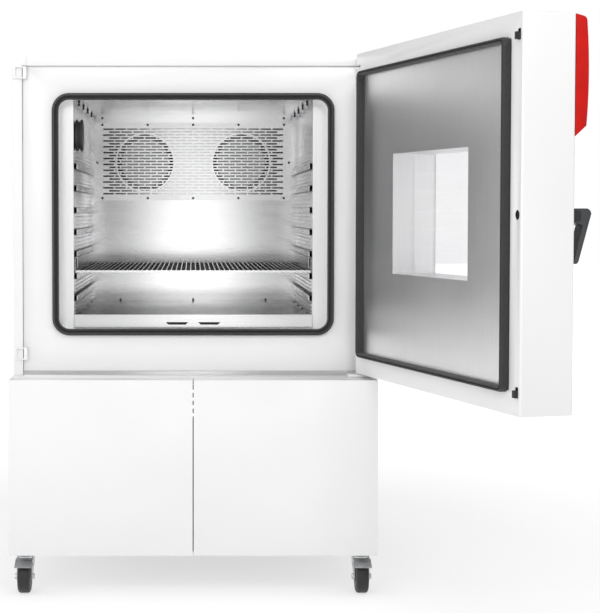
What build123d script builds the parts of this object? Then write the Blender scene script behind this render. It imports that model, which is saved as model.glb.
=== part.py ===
"""Climate chamber on castors: insulated test space with an open door over a refrigeration base.

Frame: +Z up, the chamber's front faces -Y, origin on the floor under the middle of the cabinet.
The door stands open as it is stored, and every piece is drawn where it stands then.
"""
from build123d import *
from math import cos, radians, sin
import os

os.makedirs("parts", exist_ok=True)

# Cabinet and base, in millimetres
cabinet_width = 1115.0
housing_depth = 1100.0
housing_height = 986.0
base_height = 531.7
castor_height = 128.0
sheet = 2.0
seat = 0.3
pin_clearance = 0.05

# Door
door_width = 1099.0
door_height = 981.0
door_thickness = 142.1
door_gap = 11.7
door_lift = 8.6
door_rest_angle = 105.3
pivot_from_centre = 525.0
pivot_ahead = 31.0
hinge_edge = 18.0
door_border = 60.0

# Test space
inner_width = 745.0
inner_height = 670.8
inner_depth = 777.7
inner_floor_lift = 185.3
throat_depth = 45.0
throat_width = 835.0
throat_height = 711.5
throat_radius = 33.0
duct_depth = 110.0
duct_back_wall = 80.0

# Access port through the left wall
port_from_front = 60.0
port_lift = 562.0
port_radius = 40.0
sleeve_wall = 2.0

# Levels and planes worked out from the sizes above
half_width = cabinet_width / 2
base_step = door_gap + door_thickness
base_front_y = -(housing_depth + base_step) / 2
back_y = -base_front_y
front_y = base_front_y + base_step
base_bottom_z = castor_height
base_top_z = base_bottom_z + base_height
housing_bottom_z = base_top_z + seat
housing_top_z = housing_bottom_z + housing_height
floor_z = base_top_z + inner_floor_lift
ceiling_z = floor_z + inner_height
inner_front_y = front_y + throat_depth
inner_back_y = inner_front_y + inner_depth
half_inner = inner_width / 2
throat_centre_z = (floor_z + ceiling_z) / 2 - 22.4
duct_back_y = inner_back_y + duct_depth
insulation_back_y = duct_back_y + duct_back_wall
port_y = inner_front_y + port_from_front
port_z = floor_z + port_lift


def facing(y):
    """Upright plane across the cabinet at depth y: sketch in (x, z), positive extrusion comes forward."""
    return Plane.XZ.offset(-y)


def level(z):
    """Flat plane at height z: sketch in (x, y)."""
    return Plane.XY.offset(z)


def across(x):
    """Upright plane along the cabinet at x: sketch in (y, z), positive extrusion goes to the right."""
    return Plane.YZ.offset(x)


def box_face(low_u, high_u, low_v, high_v, mode=Mode.ADD):
    """A rectangle between two corners of the sketch that is open."""
    with Locations(((low_u + high_u) / 2, (low_v + high_v) / 2)):
        Rectangle(high_u - low_u, high_v - low_v, mode=mode)


def outline(*points):
    """A closed face round straight edges in the sketch that is open."""
    Polygon(*points, align=None)


# Outer housing
flange_width = 29.5
flange_return = 10.0
gusset_width = 43.5


def side_shell(side, with_port):
    """Folded side panel: wall, front flange with its return, and the wider corner at the top."""
    outer = side * half_width
    inner_wall = side * (half_width - sheet)
    flange_tip = side * (half_width - flange_width)
    gusset_tip = side * (half_width - gusset_width)
    with BuildPart() as shell:
        with BuildSketch(level(housing_bottom_z)):
            outline(
                (outer, front_y),
                (outer, back_y),
                (inner_wall, back_y),
                (inner_wall, front_y + sheet),
                (flange_tip, front_y + sheet),
                (flange_tip, front_y),
            )
        extrude(amount=housing_height)
        with BuildSketch(level(housing_bottom_z)):
            outline(
                (flange_tip, front_y),
                (flange_tip, front_y + flange_return),
                (flange_tip + side * sheet, front_y + flange_return),
                (flange_tip + side * sheet, front_y),
            )
        extrude(amount=housing_height - sheet - seat)
        with BuildSketch(facing(front_y)):
            outline(
                (gusset_tip, housing_top_z),
                (gusset_tip, housing_top_z - flange_width),
                (flange_tip, housing_top_z - flange_width),
                (flange_tip, housing_top_z),
            )
        extrude(amount=-sheet)
        if with_port:
            with BuildSketch(across(outer)):
                with Locations((port_y, port_z)):
                    Circle(port_radius + sleeve_wall + seat)
            extrude(amount=-side * sheet, mode=Mode.SUBTRACT)
    return shell.part


left_side = side_shell(-1, True)
left_side.label = "left_side_panel"
export_step(left_side, "parts/left_side_panel.step")

right_side = side_shell(1, False)
right_side.label = "right_side_panel"
export_step(right_side, "parts/right_side_panel.step")

roof_half = half_width - sheet - seat
roof_flange_half = half_width - gusset_width - seat
with BuildPart() as roof:
    with BuildSketch(level(housing_top_z)):
        box_face(-roof_half, roof_half, front_y + sheet + seat, back_y)
    extrude(amount=-sheet)
    with BuildSketch(across(-roof_flange_half)):
        outline(
            (front_y, housing_top_z),
            (front_y + 3 * sheet, housing_top_z),
            (front_y + 3 * sheet, housing_top_z - sheet),
            (front_y + sheet, housing_top_z - sheet),
            (front_y + sheet, housing_top_z - flange_width + sheet),
            (front_y + flange_return, housing_top_z - flange_width + sheet),
            (front_y + flange_return, housing_top_z - flange_width),
            (front_y, housing_top_z - flange_width),
        )
    extrude(amount=2 * roof_flange_half)
roof.part.label = "roof_panel"
export_step(roof.part, "parts/roof_panel.step")

vent_width = 120.0
vent_height = 6.0
vent_pitch_x = 180.0
vent_pitch_z = 18.0
vent_columns = 5
vent_rows = 6
with BuildPart() as rear_panel:
    with BuildSketch(facing(back_y - sheet)):
        box_face(-roof_half, roof_half, housing_bottom_z, housing_top_z - sheet - seat)
        with Locations((0, (throat_centre_z + housing_top_z) / 2)):
            with GridLocations(vent_pitch_x, vent_pitch_z, vent_columns, vent_rows):
                Rectangle(vent_width, vent_height, mode=Mode.SUBTRACT)
    extrude(amount=-sheet)
rear_panel.part.label = "rear_panel"
export_step(rear_panel.part, "parts/rear_panel.step")

# The stainless floor under the housing, whose bright front edge shows in the slot above the base
slot_height = 12.0
floor_sheet_half = half_width - flange_width - seat
with BuildPart() as housing_floor:
    with BuildSketch(across(-floor_sheet_half)):
        outline(
            (front_y + flange_return, housing_bottom_z),
            (back_y - 2 * sheet, housing_bottom_z),
            (back_y - 2 * sheet, housing_bottom_z + sheet),
            (front_y + flange_return + sheet, housing_bottom_z + sheet),
            (front_y + flange_return + sheet, housing_bottom_z + slot_height),
            (front_y + flange_return, housing_bottom_z + slot_height),
        )
    extrude(amount=2 * floor_sheet_half)
housing_floor.part.label = "housing_floor"
export_step(housing_floor.part, "parts/housing_floor.step")

# Inset front frame round the opening
frame_y = front_y + flange_return
frame_half = floor_sheet_half
frame_low_z = housing_bottom_z + slot_height + seat
frame_high_z = housing_top_z - flange_width - seat
frame_return = 14.0
opening_clearance = 1.0
with BuildPart() as front_frame:
    with BuildSketch(facing(frame_y)):
        box_face(-frame_half, frame_half, frame_low_z, frame_high_z)
        with Locations((0, throat_centre_z)):
            RectangleRounded(
                throat_width + 2 * (sheet + seat),
                throat_height + 2 * (sheet + seat),
                throat_radius + sheet + seat,
                mode=Mode.SUBTRACT,
            )
    extrude(amount=-sheet)
    with BuildSketch(facing(frame_y + sheet)):
        box_face(-frame_half, frame_half, frame_low_z, frame_high_z)
        box_face(
            -frame_half + sheet,
            frame_half - sheet,
            frame_low_z + sheet,
            frame_high_z - sheet,
            mode=Mode.SUBTRACT,
        )
    extrude(amount=-frame_return)
front_frame.part.label = "front_frame"
export_step(front_frame.part, "parts/front_frame.step")

# Frame gasket: a rubber ring with one higher sealing lip
gasket_width = 20.0
gasket_height = 12.0
lip_width = 7.0
lip_height = 9.0
gasket_inner_width = throat_width - 2.0
gasket_inner_height = throat_height - 2.0
with BuildPart() as frame_gasket:
    with BuildSketch(facing(frame_y - seat)):
        with Locations((0, throat_centre_z)):
            RectangleRounded(
                gasket_inner_width + 2 * gasket_width,
                gasket_inner_height + 2 * gasket_width,
                throat_radius + gasket_width,
            )
            RectangleRounded(gasket_inner_width, gasket_inner_height, throat_radius, mode=Mode.SUBTRACT)
    extrude(amount=gasket_height)
    with BuildSketch(facing(frame_y - seat - gasket_height)):
        with Locations((0, throat_centre_z)):
            RectangleRounded(
                gasket_inner_width + gasket_width + lip_width,
                gasket_inner_height + gasket_width + lip_width,
                throat_radius + (gasket_width + lip_width) / 2,
            )
            RectangleRounded(
                gasket_inner_width + gasket_width - lip_width,
                gasket_inner_height + gasket_width - lip_width,
                throat_radius + (gasket_width - lip_width) / 2,
                mode=Mode.SUBTRACT,
            )
    extrude(amount=lip_height)
frame_gasket.part.label = "frame_gasket"
export_step(frame_gasket.part, "parts/frame_gasket.step")

# Door strikers at the free side, each a plate with the pocket that the lock bolt enters
striker_height = 38.0
striker_depth = 6.0
striker_pocket_width = 22.0
bolt_width = 14.0
bolt_height = 18.0
bolt_travel = 7.0
bolt_margin = 2.5
striker_pocket_height = bolt_height + bolt_travel + 2 * bolt_margin
striker_centres_z = (base_top_z + 67.0, housing_top_z - flange_width - striker_height / 2 - 2.0)
with BuildPart() as strikers:
    for centre_z in striker_centres_z:
        with BuildSketch(facing(front_y - seat)):
            box_face(
                -half_width,
                -half_width + gusset_width,
                centre_z - striker_height / 2,
                centre_z + striker_height / 2,
            )
            with Locations((-half_width + gusset_width / 2, centre_z)):
                Rectangle(striker_pocket_width, striker_pocket_height, mode=Mode.SUBTRACT)
        extrude(amount=striker_depth)
strikers.part.label = "door_strikers"
export_step(strikers.part, "parts/door_strikers.step")

# Throat between the frame and the test space
with BuildPart() as throat:
    with BuildSketch(facing(frame_y)):
        with Locations((0, throat_centre_z)):
            RectangleRounded(throat_width + 2 * sheet, throat_height + 2 * sheet, throat_radius + sheet)
            RectangleRounded(throat_width, throat_height, throat_radius, mode=Mode.SUBTRACT)
    extrude(amount=-(inner_front_y - frame_y + sheet))
    with BuildSketch(facing(inner_front_y)):
        with Locations((0, throat_centre_z)):
            RectangleRounded(throat_width + sheet, throat_height + sheet, throat_radius)
        box_face(
            -half_inner - opening_clearance,
            half_inner + opening_clearance,
            floor_z - 2 * throat_radius,
            ceiling_z + throat_radius,
            mode=Mode.SUBTRACT,
        )
    extrude(amount=-sheet)
throat.part.label = "door_throat"
export_step(throat.part, "parts/door_throat.step")

# Test space lining: two ribbed side walls, ceiling, floor with its drain lip, rear wall
lining_front_y = inner_front_y + sheet + seat
lining_back_y = inner_back_y
rail_count = 7
rail_pitch = 68.6
rail_height = 19.4
rail_reach = 10.3
rail_sheet = 1.5
first_rail_lift = 51.9
rib_reach = 2.5
rib_height = 5.0
rib_pitch = 12.2
ribs_per_field = 3
rib_end_margin = 32.0
rail_levels = [floor_z + first_rail_lift + step * rail_pitch for step in range(rail_count)]
field_levels = [rail_levels[0] - rail_pitch / 2 - 2.0]
field_levels += [rail_level + rail_pitch / 2 for rail_level in rail_levels]
field_levels += [rail_levels[-1] + rail_pitch / 2 + rib_pitch * (ribs_per_field + 1)]


def ribbed_wall(side, with_port):
    """Side lining with pressed ribs between the shelf rails."""
    inner = side * half_inner
    with BuildPart() as wall:
        with BuildSketch(across(inner)):
            box_face(lining_front_y, lining_back_y - seat, floor_z + seat, ceiling_z - seat)
        extrude(amount=side * sheet)
        with BuildSketch(facing(lining_front_y + rib_end_margin)):
            for field in field_levels:
                for step in range(ribs_per_field):
                    rib_z = field + (step - (ribs_per_field - 1) / 2) * rib_pitch
                    outline(
                        (inner, rib_z - rib_height / 2),
                        (inner - side * rib_reach, rib_z - rib_height / 4),
                        (inner - side * rib_reach, rib_z + rib_height / 4),
                        (inner, rib_z + rib_height / 2),
                    )
        extrude(amount=-(inner_depth - 2 * rib_end_margin))
        if with_port:
            with BuildSketch(across(inner + side * sheet)):
                with Locations((port_y, port_z)):
                    Circle(port_radius + 2 * sheet + 1.0)
            extrude(amount=-side * (sheet + rib_reach), mode=Mode.SUBTRACT)
    return wall.part


left_wall = ribbed_wall(-1, True)
left_wall.label = "chamber_left_wall"
export_step(left_wall, "parts/chamber_left_wall.step")

right_wall = ribbed_wall(1, False)
right_wall.label = "chamber_right_wall"
export_step(right_wall, "parts/chamber_right_wall.step")

with BuildPart() as ceiling:
    with BuildSketch(level(ceiling_z)):
        box_face(-half_inner - sheet, half_inner + sheet, lining_front_y, lining_back_y - seat)
    extrude(amount=sheet)
ceiling.part.label = "chamber_ceiling"
export_step(ceiling.part, "parts/chamber_ceiling.step")

lip_drop = 41.0
drain_slot_length = 70.0
drain_slot_height = 8.0
drain_slot_drop = 27.5
drain_slot_offset = 50.5
with BuildPart() as chamber_floor:
    with BuildSketch(across(-half_inner)):
        outline(
            (inner_front_y, floor_z),
            (inner_front_y, floor_z - lip_drop),
            (inner_front_y + sheet, floor_z - lip_drop),
            (inner_front_y + sheet, floor_z - sheet),
            (lining_back_y - seat, floor_z - sheet),
            (lining_back_y - seat, floor_z),
        )
    extrude(amount=2 * half_inner)
    with BuildSketch(facing(inner_front_y)):
        with Locations(
            (-drain_slot_offset, floor_z - drain_slot_drop),
            (drain_slot_offset, floor_z - drain_slot_drop),
        ):
            Trapezoid(drain_slot_length, drain_slot_height, 45, rotation=180)
    extrude(amount=-sheet, mode=Mode.SUBTRACT)
chamber_floor.part.label = "chamber_floor"
export_step(chamber_floor.part, "parts/chamber_floor.step")

# Rear wall: a drawn recess behind the slotted cover holds the two collared inlets of the fans
fan_centre_x = 173.0
fan_lift = 499.0
fan_z = floor_z + fan_lift
cover_lift = 503.0
cover_z = floor_z + cover_lift
inlet_radius = 104.0
collar_width = 3.0
collar_depth = 12.0
recess_width = 684.0
recess_height = 262.0
recess_radius = 12.0
recess_depth = 9.0
recess_face_y = lining_back_y + recess_depth
duct_front_y = recess_face_y + sheet
with BuildPart() as rear_wall:
    with BuildSketch(facing(lining_back_y)):
        box_face(-half_inner - sheet, half_inner + sheet, floor_z - sheet, ceiling_z + sheet)
    extrude(amount=-sheet)
    with BuildSketch(facing(lining_back_y)):
        with Locations((0, cover_z)):
            RectangleRounded(recess_width + 2 * sheet, recess_height + 2 * sheet, recess_radius + sheet)
    extrude(amount=-(recess_depth + sheet))
    with BuildSketch(facing(duct_front_y)):
        with Locations((-fan_centre_x, fan_z), (fan_centre_x, fan_z)):
            Circle(inlet_radius + collar_width)
    extrude(amount=-collar_depth)
    with BuildSketch(facing(lining_back_y)):
        with Locations((0, cover_z)):
            RectangleRounded(recess_width, recess_height, recess_radius)
    extrude(amount=-recess_depth, mode=Mode.SUBTRACT)
    with BuildSketch(facing(recess_face_y)):
        with Locations((-fan_centre_x, fan_z), (fan_centre_x, fan_z)):
            Circle(inlet_radius)
    extrude(amount=-(sheet + collar_depth), mode=Mode.SUBTRACT)
rear_wall.part.label = "chamber_rear_wall"
export_step(rear_wall.part, "parts/chamber_rear_wall.step")

# Slotted cover in front of the fans: rows of slots, every other row shifted by half a pitch,
# and a raised ring without slots round each fan
cover_width = 708.0
cover_height = 280.0
cover_radius = 15.0
cover_stand_off = 0.3
slot_pitch = 43.6
slot_length = 38.4
slot_opening = 5.4
slot_row_pitch = 10.57
slot_rows = 23
long_row_slots = 15
ring_inner = 101.5
ring_outer = 107.5
ring_raise = 0.8
cover_front_y = lining_back_y - cover_stand_off
with BuildPart() as fan_cover:
    with BuildSketch(facing(cover_front_y)):
        with Locations((0, cover_z)):
            RectangleRounded(cover_width, cover_height, cover_radius)
            with GridLocations(slot_pitch, 2 * slot_row_pitch, long_row_slots, (slot_rows + 1) // 2):
                Rectangle(slot_length, slot_opening, mode=Mode.SUBTRACT)
            with GridLocations(slot_pitch, 2 * slot_row_pitch, long_row_slots - 1, slot_rows // 2):
                Rectangle(slot_length, slot_opening, mode=Mode.SUBTRACT)
    extrude(amount=sheet)
    with BuildSketch(facing(cover_front_y)):
        for centre_x in (-fan_centre_x, fan_centre_x):
            with Locations((centre_x, fan_z)):
                Circle(ring_outer)
                Circle(ring_inner, mode=Mode.SUBTRACT)
    extrude(amount=sheet + ring_raise)
fan_cover.part.label = "fan_cover"
export_step(fan_cover.part, "parts/fan_cover.step")

# Shelf rails: open channels along both walls
rail_front_y = lining_front_y
rail_back_y = lining_back_y - 2.0
with BuildPart() as shelf_rails:
    for side in (-1, 1):
        wall_x = side * (half_inner - seat)
        tip_x = wall_x - side * rail_reach
        with BuildSketch(facing(rail_front_y)):
            for rail_level in rail_levels:
                outline(
                    (wall_x, rail_level + rail_height / 2),
                    (tip_x, rail_level + rail_height / 2),
                    (tip_x, rail_level - rail_height / 2),
                    (wall_x, rail_level - rail_height / 2),
                    (wall_x, rail_level - rail_height / 2 + rail_sheet),
                    (tip_x + side * rail_sheet, rail_level - rail_height / 2 + rail_sheet),
                    (tip_x + side * rail_sheet, rail_level + rail_height / 2 - rail_sheet),
                    (wall_x, rail_level + rail_height / 2 - rail_sheet),
                )
        extrude(amount=-(rail_back_y - rail_front_y))
shelf_rails.part.label = "shelf_rails"
export_step(shelf_rails.part, "parts/shelf_rails.step")

# Shelf guides: a channel on each side, clamped between two rails, that the shelf slides in
shelf_rail = 1
guide_low_z = rail_levels[shelf_rail] + rail_height / 2 + seat
guide_high_z = rail_levels[shelf_rail + 1] - rail_height / 2 - seat
guide_reach = 9.0
guide_slot = 14.0
guide_lip_z = guide_low_z + rail_sheet + guide_slot
with BuildPart() as shelf_guides:
    for side in (-1, 1):
        web_x = side * (half_inner - rib_reach - seat)
        lip_x = web_x - side * guide_reach
        with BuildSketch(facing(rail_front_y)):
            outline(
                (web_x, guide_high_z),
                (lip_x, guide_high_z),
                (lip_x, guide_lip_z),
                (lip_x + side * rail_sheet, guide_lip_z),
                (lip_x + side * rail_sheet, guide_high_z - rail_sheet),
                (web_x - side * rail_sheet, guide_high_z - rail_sheet),
                (web_x - side * rail_sheet, guide_low_z + rail_sheet),
                (lip_x, guide_low_z + rail_sheet),
                (lip_x, guide_low_z),
                (web_x, guide_low_z),
            )
        extrude(amount=-(rail_back_y - rail_front_y))
shelf_guides.part.label = "shelf_guides"
export_step(shelf_guides.part, "parts/shelf_guides.step")

# Shelf: a welded wire rack, flat bars of wire along the depth over a frame
wire_frame = 6.0
wire_bar = 3.0
wire_count = 48
shelf_play = 1.0
shelf_side_clearance = rib_reach + seat + rail_sheet + shelf_play
shelf_half = half_inner - shelf_side_clearance
shelf_front_y = rail_front_y + 3.0
shelf_back_y = inner_back_y - 40.0
shelf_low_z = guide_low_z + rail_sheet + seat
shelf_depth = shelf_back_y - shelf_front_y
cross_wire = 4.0
cross_wires = 14
wire_span = 2 * shelf_half - 3 * wire_frame
with BuildPart() as shelf_rack:
    with BuildSketch(level(shelf_low_z)):
        box_face(-shelf_half, shelf_half, shelf_front_y, shelf_back_y)
        box_face(
            -shelf_half + wire_frame,
            shelf_half - wire_frame,
            shelf_front_y + wire_frame,
            shelf_back_y - wire_frame,
            mode=Mode.SUBTRACT,
        )
        with Locations((0, (shelf_front_y + shelf_back_y) / 2)):
            with GridLocations(1, shelf_depth / (cross_wires + 1), 1, cross_wires):
                Rectangle(2 * shelf_half - wire_frame, cross_wire)
    extrude(amount=wire_frame)
    with BuildSketch(level(shelf_low_z + wire_frame - wire_bar / 2)):
        with Locations((0, (shelf_front_y + shelf_back_y) / 2)):
            with GridLocations(wire_span / (wire_count - 1), 1, wire_count, 1):
                Rectangle(wire_bar, shelf_depth - wire_frame)
    extrude(amount=wire_bar)
shelf_rack.part.label = "shelf_rack"
export_step(shelf_rack.part, "parts/shelf_rack.step")

# Access port through the left wall, and its stopper
stopper_length = 62.0
head_radius = 50.0
head_groove_radius = 43.0
head_flange = 8.0
head_groove = 7.0
with BuildPart() as port_sleeve:
    with BuildSketch(across(-half_width)):
        with Locations((port_y, port_z)):
            Circle(port_radius + sleeve_wall)
            Circle(port_radius, mode=Mode.SUBTRACT)
    extrude(amount=half_width - half_inner)
port_sleeve.part.label = "access_port_sleeve"
export_step(port_sleeve.part, "parts/access_port_sleeve.step")

with BuildPart() as stopper:
    with BuildSketch(Plane(origin=(-half_inner, port_y, port_z), x_dir=(1, 0, 0), z_dir=(0, -1, 0))):
        outline(
            (-stopper_length, 0),
            (-stopper_length, port_radius - pin_clearance - 3.0),
            (-stopper_length + 12.0, port_radius - pin_clearance),
            (rib_reach + seat, port_radius - pin_clearance),
            (rib_reach + seat, head_radius),
            (rib_reach + seat + head_flange, head_radius),
            (rib_reach + seat + head_flange, head_groove_radius),
            (rib_reach + seat + head_flange + head_groove, head_groove_radius),
            (rib_reach + seat + head_flange + head_groove, head_radius),
            (rib_reach + seat + 2 * head_flange + head_groove, head_radius),
            (rib_reach + seat + 2 * head_flange + head_groove, 0),
        )
    revolve(axis=Axis((-half_inner, port_y, port_z), (1, 0, 0)))
stopper.part.label = "port_stopper"
export_step(stopper.part, "parts/port_stopper.step")

# Foam insulation: one moulded block round the test space and the air duct behind it
insulation_half = half_width - sheet - seat
insulation_low_z = housing_bottom_z + sheet + seat
insulation_high_z = housing_top_z - sheet - seat
insulation_front_y = frame_y + sheet + frame_return + seat
cavity_half = half_inner + sheet + seat
shaft_radius = 6.0
shaft_bore = shaft_radius + 2.0
with BuildPart() as insulation:
    with BuildSketch(facing(insulation_front_y)):
        box_face(-insulation_half, insulation_half, insulation_low_z, insulation_high_z)
        box_face(
            -cavity_half,
            cavity_half,
            floor_z - sheet - seat,
            ceiling_z + sheet + seat,
            mode=Mode.SUBTRACT,
        )
    extrude(amount=-(duct_back_y - insulation_front_y))
    with BuildSketch(facing(duct_back_y)):
        box_face(-insulation_half, insulation_half, insulation_low_z, insulation_high_z)
        with Locations((-fan_centre_x, fan_z), (fan_centre_x, fan_z)):
            Circle(shaft_bore, mode=Mode.SUBTRACT)
    extrude(amount=-duct_back_wall)
    with BuildSketch(facing(insulation_front_y)):
        with Locations((0, throat_centre_z)):
            RectangleRounded(
                throat_width + 2 * (sheet + seat),
                throat_height + 2 * (sheet + seat),
                throat_radius + sheet + seat,
            )
        box_face(-cavity_half, cavity_half, floor_z - sheet - seat, ceiling_z + sheet + seat)
    extrude(amount=-(lining_front_y - insulation_front_y), mode=Mode.SUBTRACT)
    with BuildSketch(across(-insulation_half)):
        with Locations((port_y, port_z)):
            Circle(port_radius + sleeve_wall + seat)
    extrude(amount=insulation_half - half_inner, mode=Mode.SUBTRACT)
insulation.part.label = "insulation_block"
export_step(insulation.part, "parts/insulation_block.step")

# Circulation fans: bladed wheels on long shafts, with their motors behind the insulation
impeller_radius = 85.0
impeller_eye = 50.0
impeller_width = 55.0
impeller_disc = 3.0
impeller_blades = 14
impeller_rim = 12.0
blade_thickness = 2.0
blade_lean = 35.0
hub_radius = 10.0
hub_groove_radius = 15.0
hub_groove = 2.0
impeller_front_y = recess_face_y + 1.0
impeller_back_y = impeller_front_y + impeller_width
motor_radius = 52.0
motor_front_y = insulation_back_y + seat
motor_length = 70.0


def circulation_fan(centre_x):
    """Fan wheel: front disc with its hub, leaning blades, rear ring and shaft."""
    with BuildPart() as wheel:
        with BuildSketch(facing(impeller_front_y)):
            with Locations((centre_x, fan_z)):
                Circle(impeller_radius)
        extrude(amount=-impeller_disc)
        with BuildSketch(facing(impeller_front_y)):
            with Locations((centre_x, fan_z)):
                Circle(hub_groove_radius)
                Circle(hub_radius, mode=Mode.SUBTRACT)
        extrude(amount=-hub_groove, mode=Mode.SUBTRACT)
        with BuildSketch(facing(impeller_front_y + impeller_disc)):
            with Locations((centre_x, fan_z)):
                with PolarLocations((impeller_eye + impeller_radius) / 2, impeller_blades):
                    Rectangle(impeller_radius - impeller_eye, blade_thickness, rotation=blade_lean)
        extrude(amount=-(impeller_width - 2 * impeller_disc))
        with BuildSketch(facing(impeller_back_y - impeller_disc)):
            with Locations((centre_x, fan_z)):
                Circle(impeller_radius)
                Circle(impeller_radius - impeller_rim, mode=Mode.SUBTRACT)
        extrude(amount=-impeller_disc)
        with BuildSketch(facing(impeller_front_y + impeller_disc)):
            with Locations((centre_x, fan_z)):
                Circle(shaft_radius)
        extrude(amount=-(motor_front_y + motor_length - impeller_front_y - impeller_disc))
    return wheel.part


left_fan = circulation_fan(-fan_centre_x)
left_fan.label = "left_fan_impeller"
export_step(left_fan, "parts/left_fan_impeller.step")

right_fan = circulation_fan(fan_centre_x)
right_fan.label = "right_fan_impeller"
export_step(right_fan, "parts/right_fan_impeller.step")

with BuildPart() as fan_motors:
    with BuildSketch(facing(motor_front_y)):
        with Locations((-fan_centre_x, fan_z), (fan_centre_x, fan_z)):
            Circle(motor_radius)
            Circle(shaft_radius + pin_clearance, mode=Mode.SUBTRACT)
    extrude(amount=-motor_length)
fan_motors.part.label = "fan_motors"
export_step(fan_motors.part, "parts/fan_motors.step")

# Heating rods above the fans and the finned evaporator below them, hung on the rear wall
heater_rod_radius = 4.0
heater_rows = 3
heater_row_pitch = 18.0
heater_half = 300.0
heater_y = duct_front_y + collar_depth + 30.0
heater_low_z = fan_z + inlet_radius + 12.0
heater_bracket = 6.0
with BuildPart() as heater:
    for row in range(heater_rows):
        with BuildSketch(across(-heater_half)):
            with Locations((heater_y, heater_low_z + row * heater_row_pitch)):
                RegularPolygon(heater_rod_radius, 8)
        extrude(amount=2 * heater_half)
    with BuildSketch(facing(duct_front_y + seat)):
        for side in (-1, 1):
            box_face(
                side * heater_half - heater_bracket,
                side * heater_half + heater_bracket,
                heater_low_z - 10.0,
                heater_low_z + (heater_rows - 1) * heater_row_pitch + 10.0,
            )
    extrude(amount=-(heater_y + 8.0 - duct_front_y - seat))
heater.part.label = "heating_rods"
export_step(heater.part, "parts/heating_rods.step")

coil_half = 320.0
coil_low_lift = 40.0
coil_height = 300.0
coil_depth = 80.0
coil_fins = 13
coil_fin = 2.0
coil_tube = 9.0
coil_front_y = lining_back_y + sheet + seat
with BuildPart() as evaporator:
    with BuildSketch(level(floor_z + coil_low_lift)):
        with Locations((0, coil_front_y + coil_depth / 2)):
            with GridLocations(2 * coil_half / (coil_fins - 1), 1, coil_fins, 1):
                Rectangle(coil_fin, coil_depth)
    extrude(amount=coil_height)
    with BuildSketch(across(-coil_half - 20.0)):
        with Locations((coil_front_y + coil_depth / 2, floor_z + coil_low_lift + coil_height / 2)):
            with GridLocations(coil_depth / 2, coil_height / 4, 2, 4):
                RegularPolygon(coil_tube, 6)
    extrude(amount=2 * coil_half + 40.0)
evaporator.part.label = "evaporator_coil"
export_step(evaporator.part, "parts/evaporator_coil.step")

# Base: welded frame, side panels with top flanges, top plate, rear grille
base_door_depth = 54.0
base_side_flange = 32.0
chassis_sheet = 3.0
post_width = 36.0
base_inner_half = half_width - sheet - seat
base_frame_front_y = base_front_y + base_door_depth + seat
base_frame_back_y = back_y - sheet - seat
post_inset = 14.0
post_outer_x = base_inner_half - post_inset
frame_rail_width = 25.0
frame_rail_height = 16.0
door_pin_inset = 8.0
door_pin_radius = 3.0
lug_half = 5.0
pin_y = base_front_y + base_door_depth - door_pin_inset
pin_x = half_width - door_pin_inset
with BuildPart() as base_frame:
    with BuildSketch(level(base_bottom_z)):
        box_face(-base_inner_half, base_inner_half, base_frame_front_y, base_frame_back_y)
    extrude(amount=chassis_sheet)
    with BuildSketch(level(base_bottom_z)):
        for side in (-1, 1):
            for post_y in (base_frame_front_y + post_inset, base_frame_back_y - post_width):
                box_face(
                    side * (post_outer_x - post_width / 2) - post_width / 2,
                    side * (post_outer_x - post_width / 2) + post_width / 2,
                    post_y,
                    post_y + post_width,
                )
    extrude(amount=base_height - sheet - seat)
    with BuildSketch(level(base_top_z - sheet - seat)):
        for rail_y in (base_frame_front_y, base_frame_back_y - post_width):
            box_face(-post_outer_x, post_outer_x, rail_y, rail_y + frame_rail_width)
    extrude(amount=-frame_rail_height)
    for lug_z in (base_bottom_z + sheet + seat, base_top_z - sheet - seat - chassis_sheet):
        with BuildSketch(level(lug_z)):
            for side in (-1, 1):
                with Locations((side * pin_x, pin_y)):
                    Circle(lug_half)
                outline(
                    (side * (pin_x - lug_half), pin_y),
                    (side * (pin_x + lug_half), pin_y),
                    (side * (pin_x + lug_half), base_frame_front_y + post_inset + lug_half),
                    (side * (post_outer_x - lug_half), base_frame_front_y + post_inset + lug_half),
                    (side * (post_outer_x - lug_half), base_frame_front_y),
                    (side * (pin_x - lug_half), base_frame_front_y),
                )
        extrude(amount=chassis_sheet)
        with BuildSketch(level(base_bottom_z if lug_z < base_top_z / 2 else lug_z)):
            with Locations((-pin_x, pin_y), (pin_x, pin_y)):
                Circle(door_pin_radius)
        extrude(amount=chassis_sheet + sheet + seat)
base_frame.part.label = "base_frame"
export_step(base_frame.part, "parts/base_frame.step")


def base_side(side):
    """Side panel of the base with the flange that shows beside the top plate."""
    outer = side * half_width
    with BuildPart() as panel:
        with BuildSketch(facing(base_frame_front_y)):
            outline(
                (outer, base_bottom_z),
                (outer, base_top_z),
                (outer - side * base_side_flange, base_top_z),
                (outer - side * base_side_flange, base_top_z - sheet),
                (outer - side * sheet, base_top_z - sheet),
                (outer - side * sheet, base_bottom_z),
            )
        extrude(amount=-(back_y - base_frame_front_y))
    return panel.part


base_left = base_side(-1)
base_left.label = "base_left_panel"
export_step(base_left, "parts/base_left_panel.step")

base_right = base_side(1)
base_right.label = "base_right_panel"
export_step(base_right, "parts/base_right_panel.step")

top_plate_half = half_width - base_side_flange - seat
with BuildPart() as top_plate:
    with BuildSketch(level(base_top_z - sheet)):
        box_face(-top_plate_half, top_plate_half, base_frame_front_y, back_y - sheet - seat)
    extrude(amount=sheet)
top_plate.part.label = "base_top_plate"
export_step(top_plate.part, "parts/base_top_plate.step")

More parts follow.
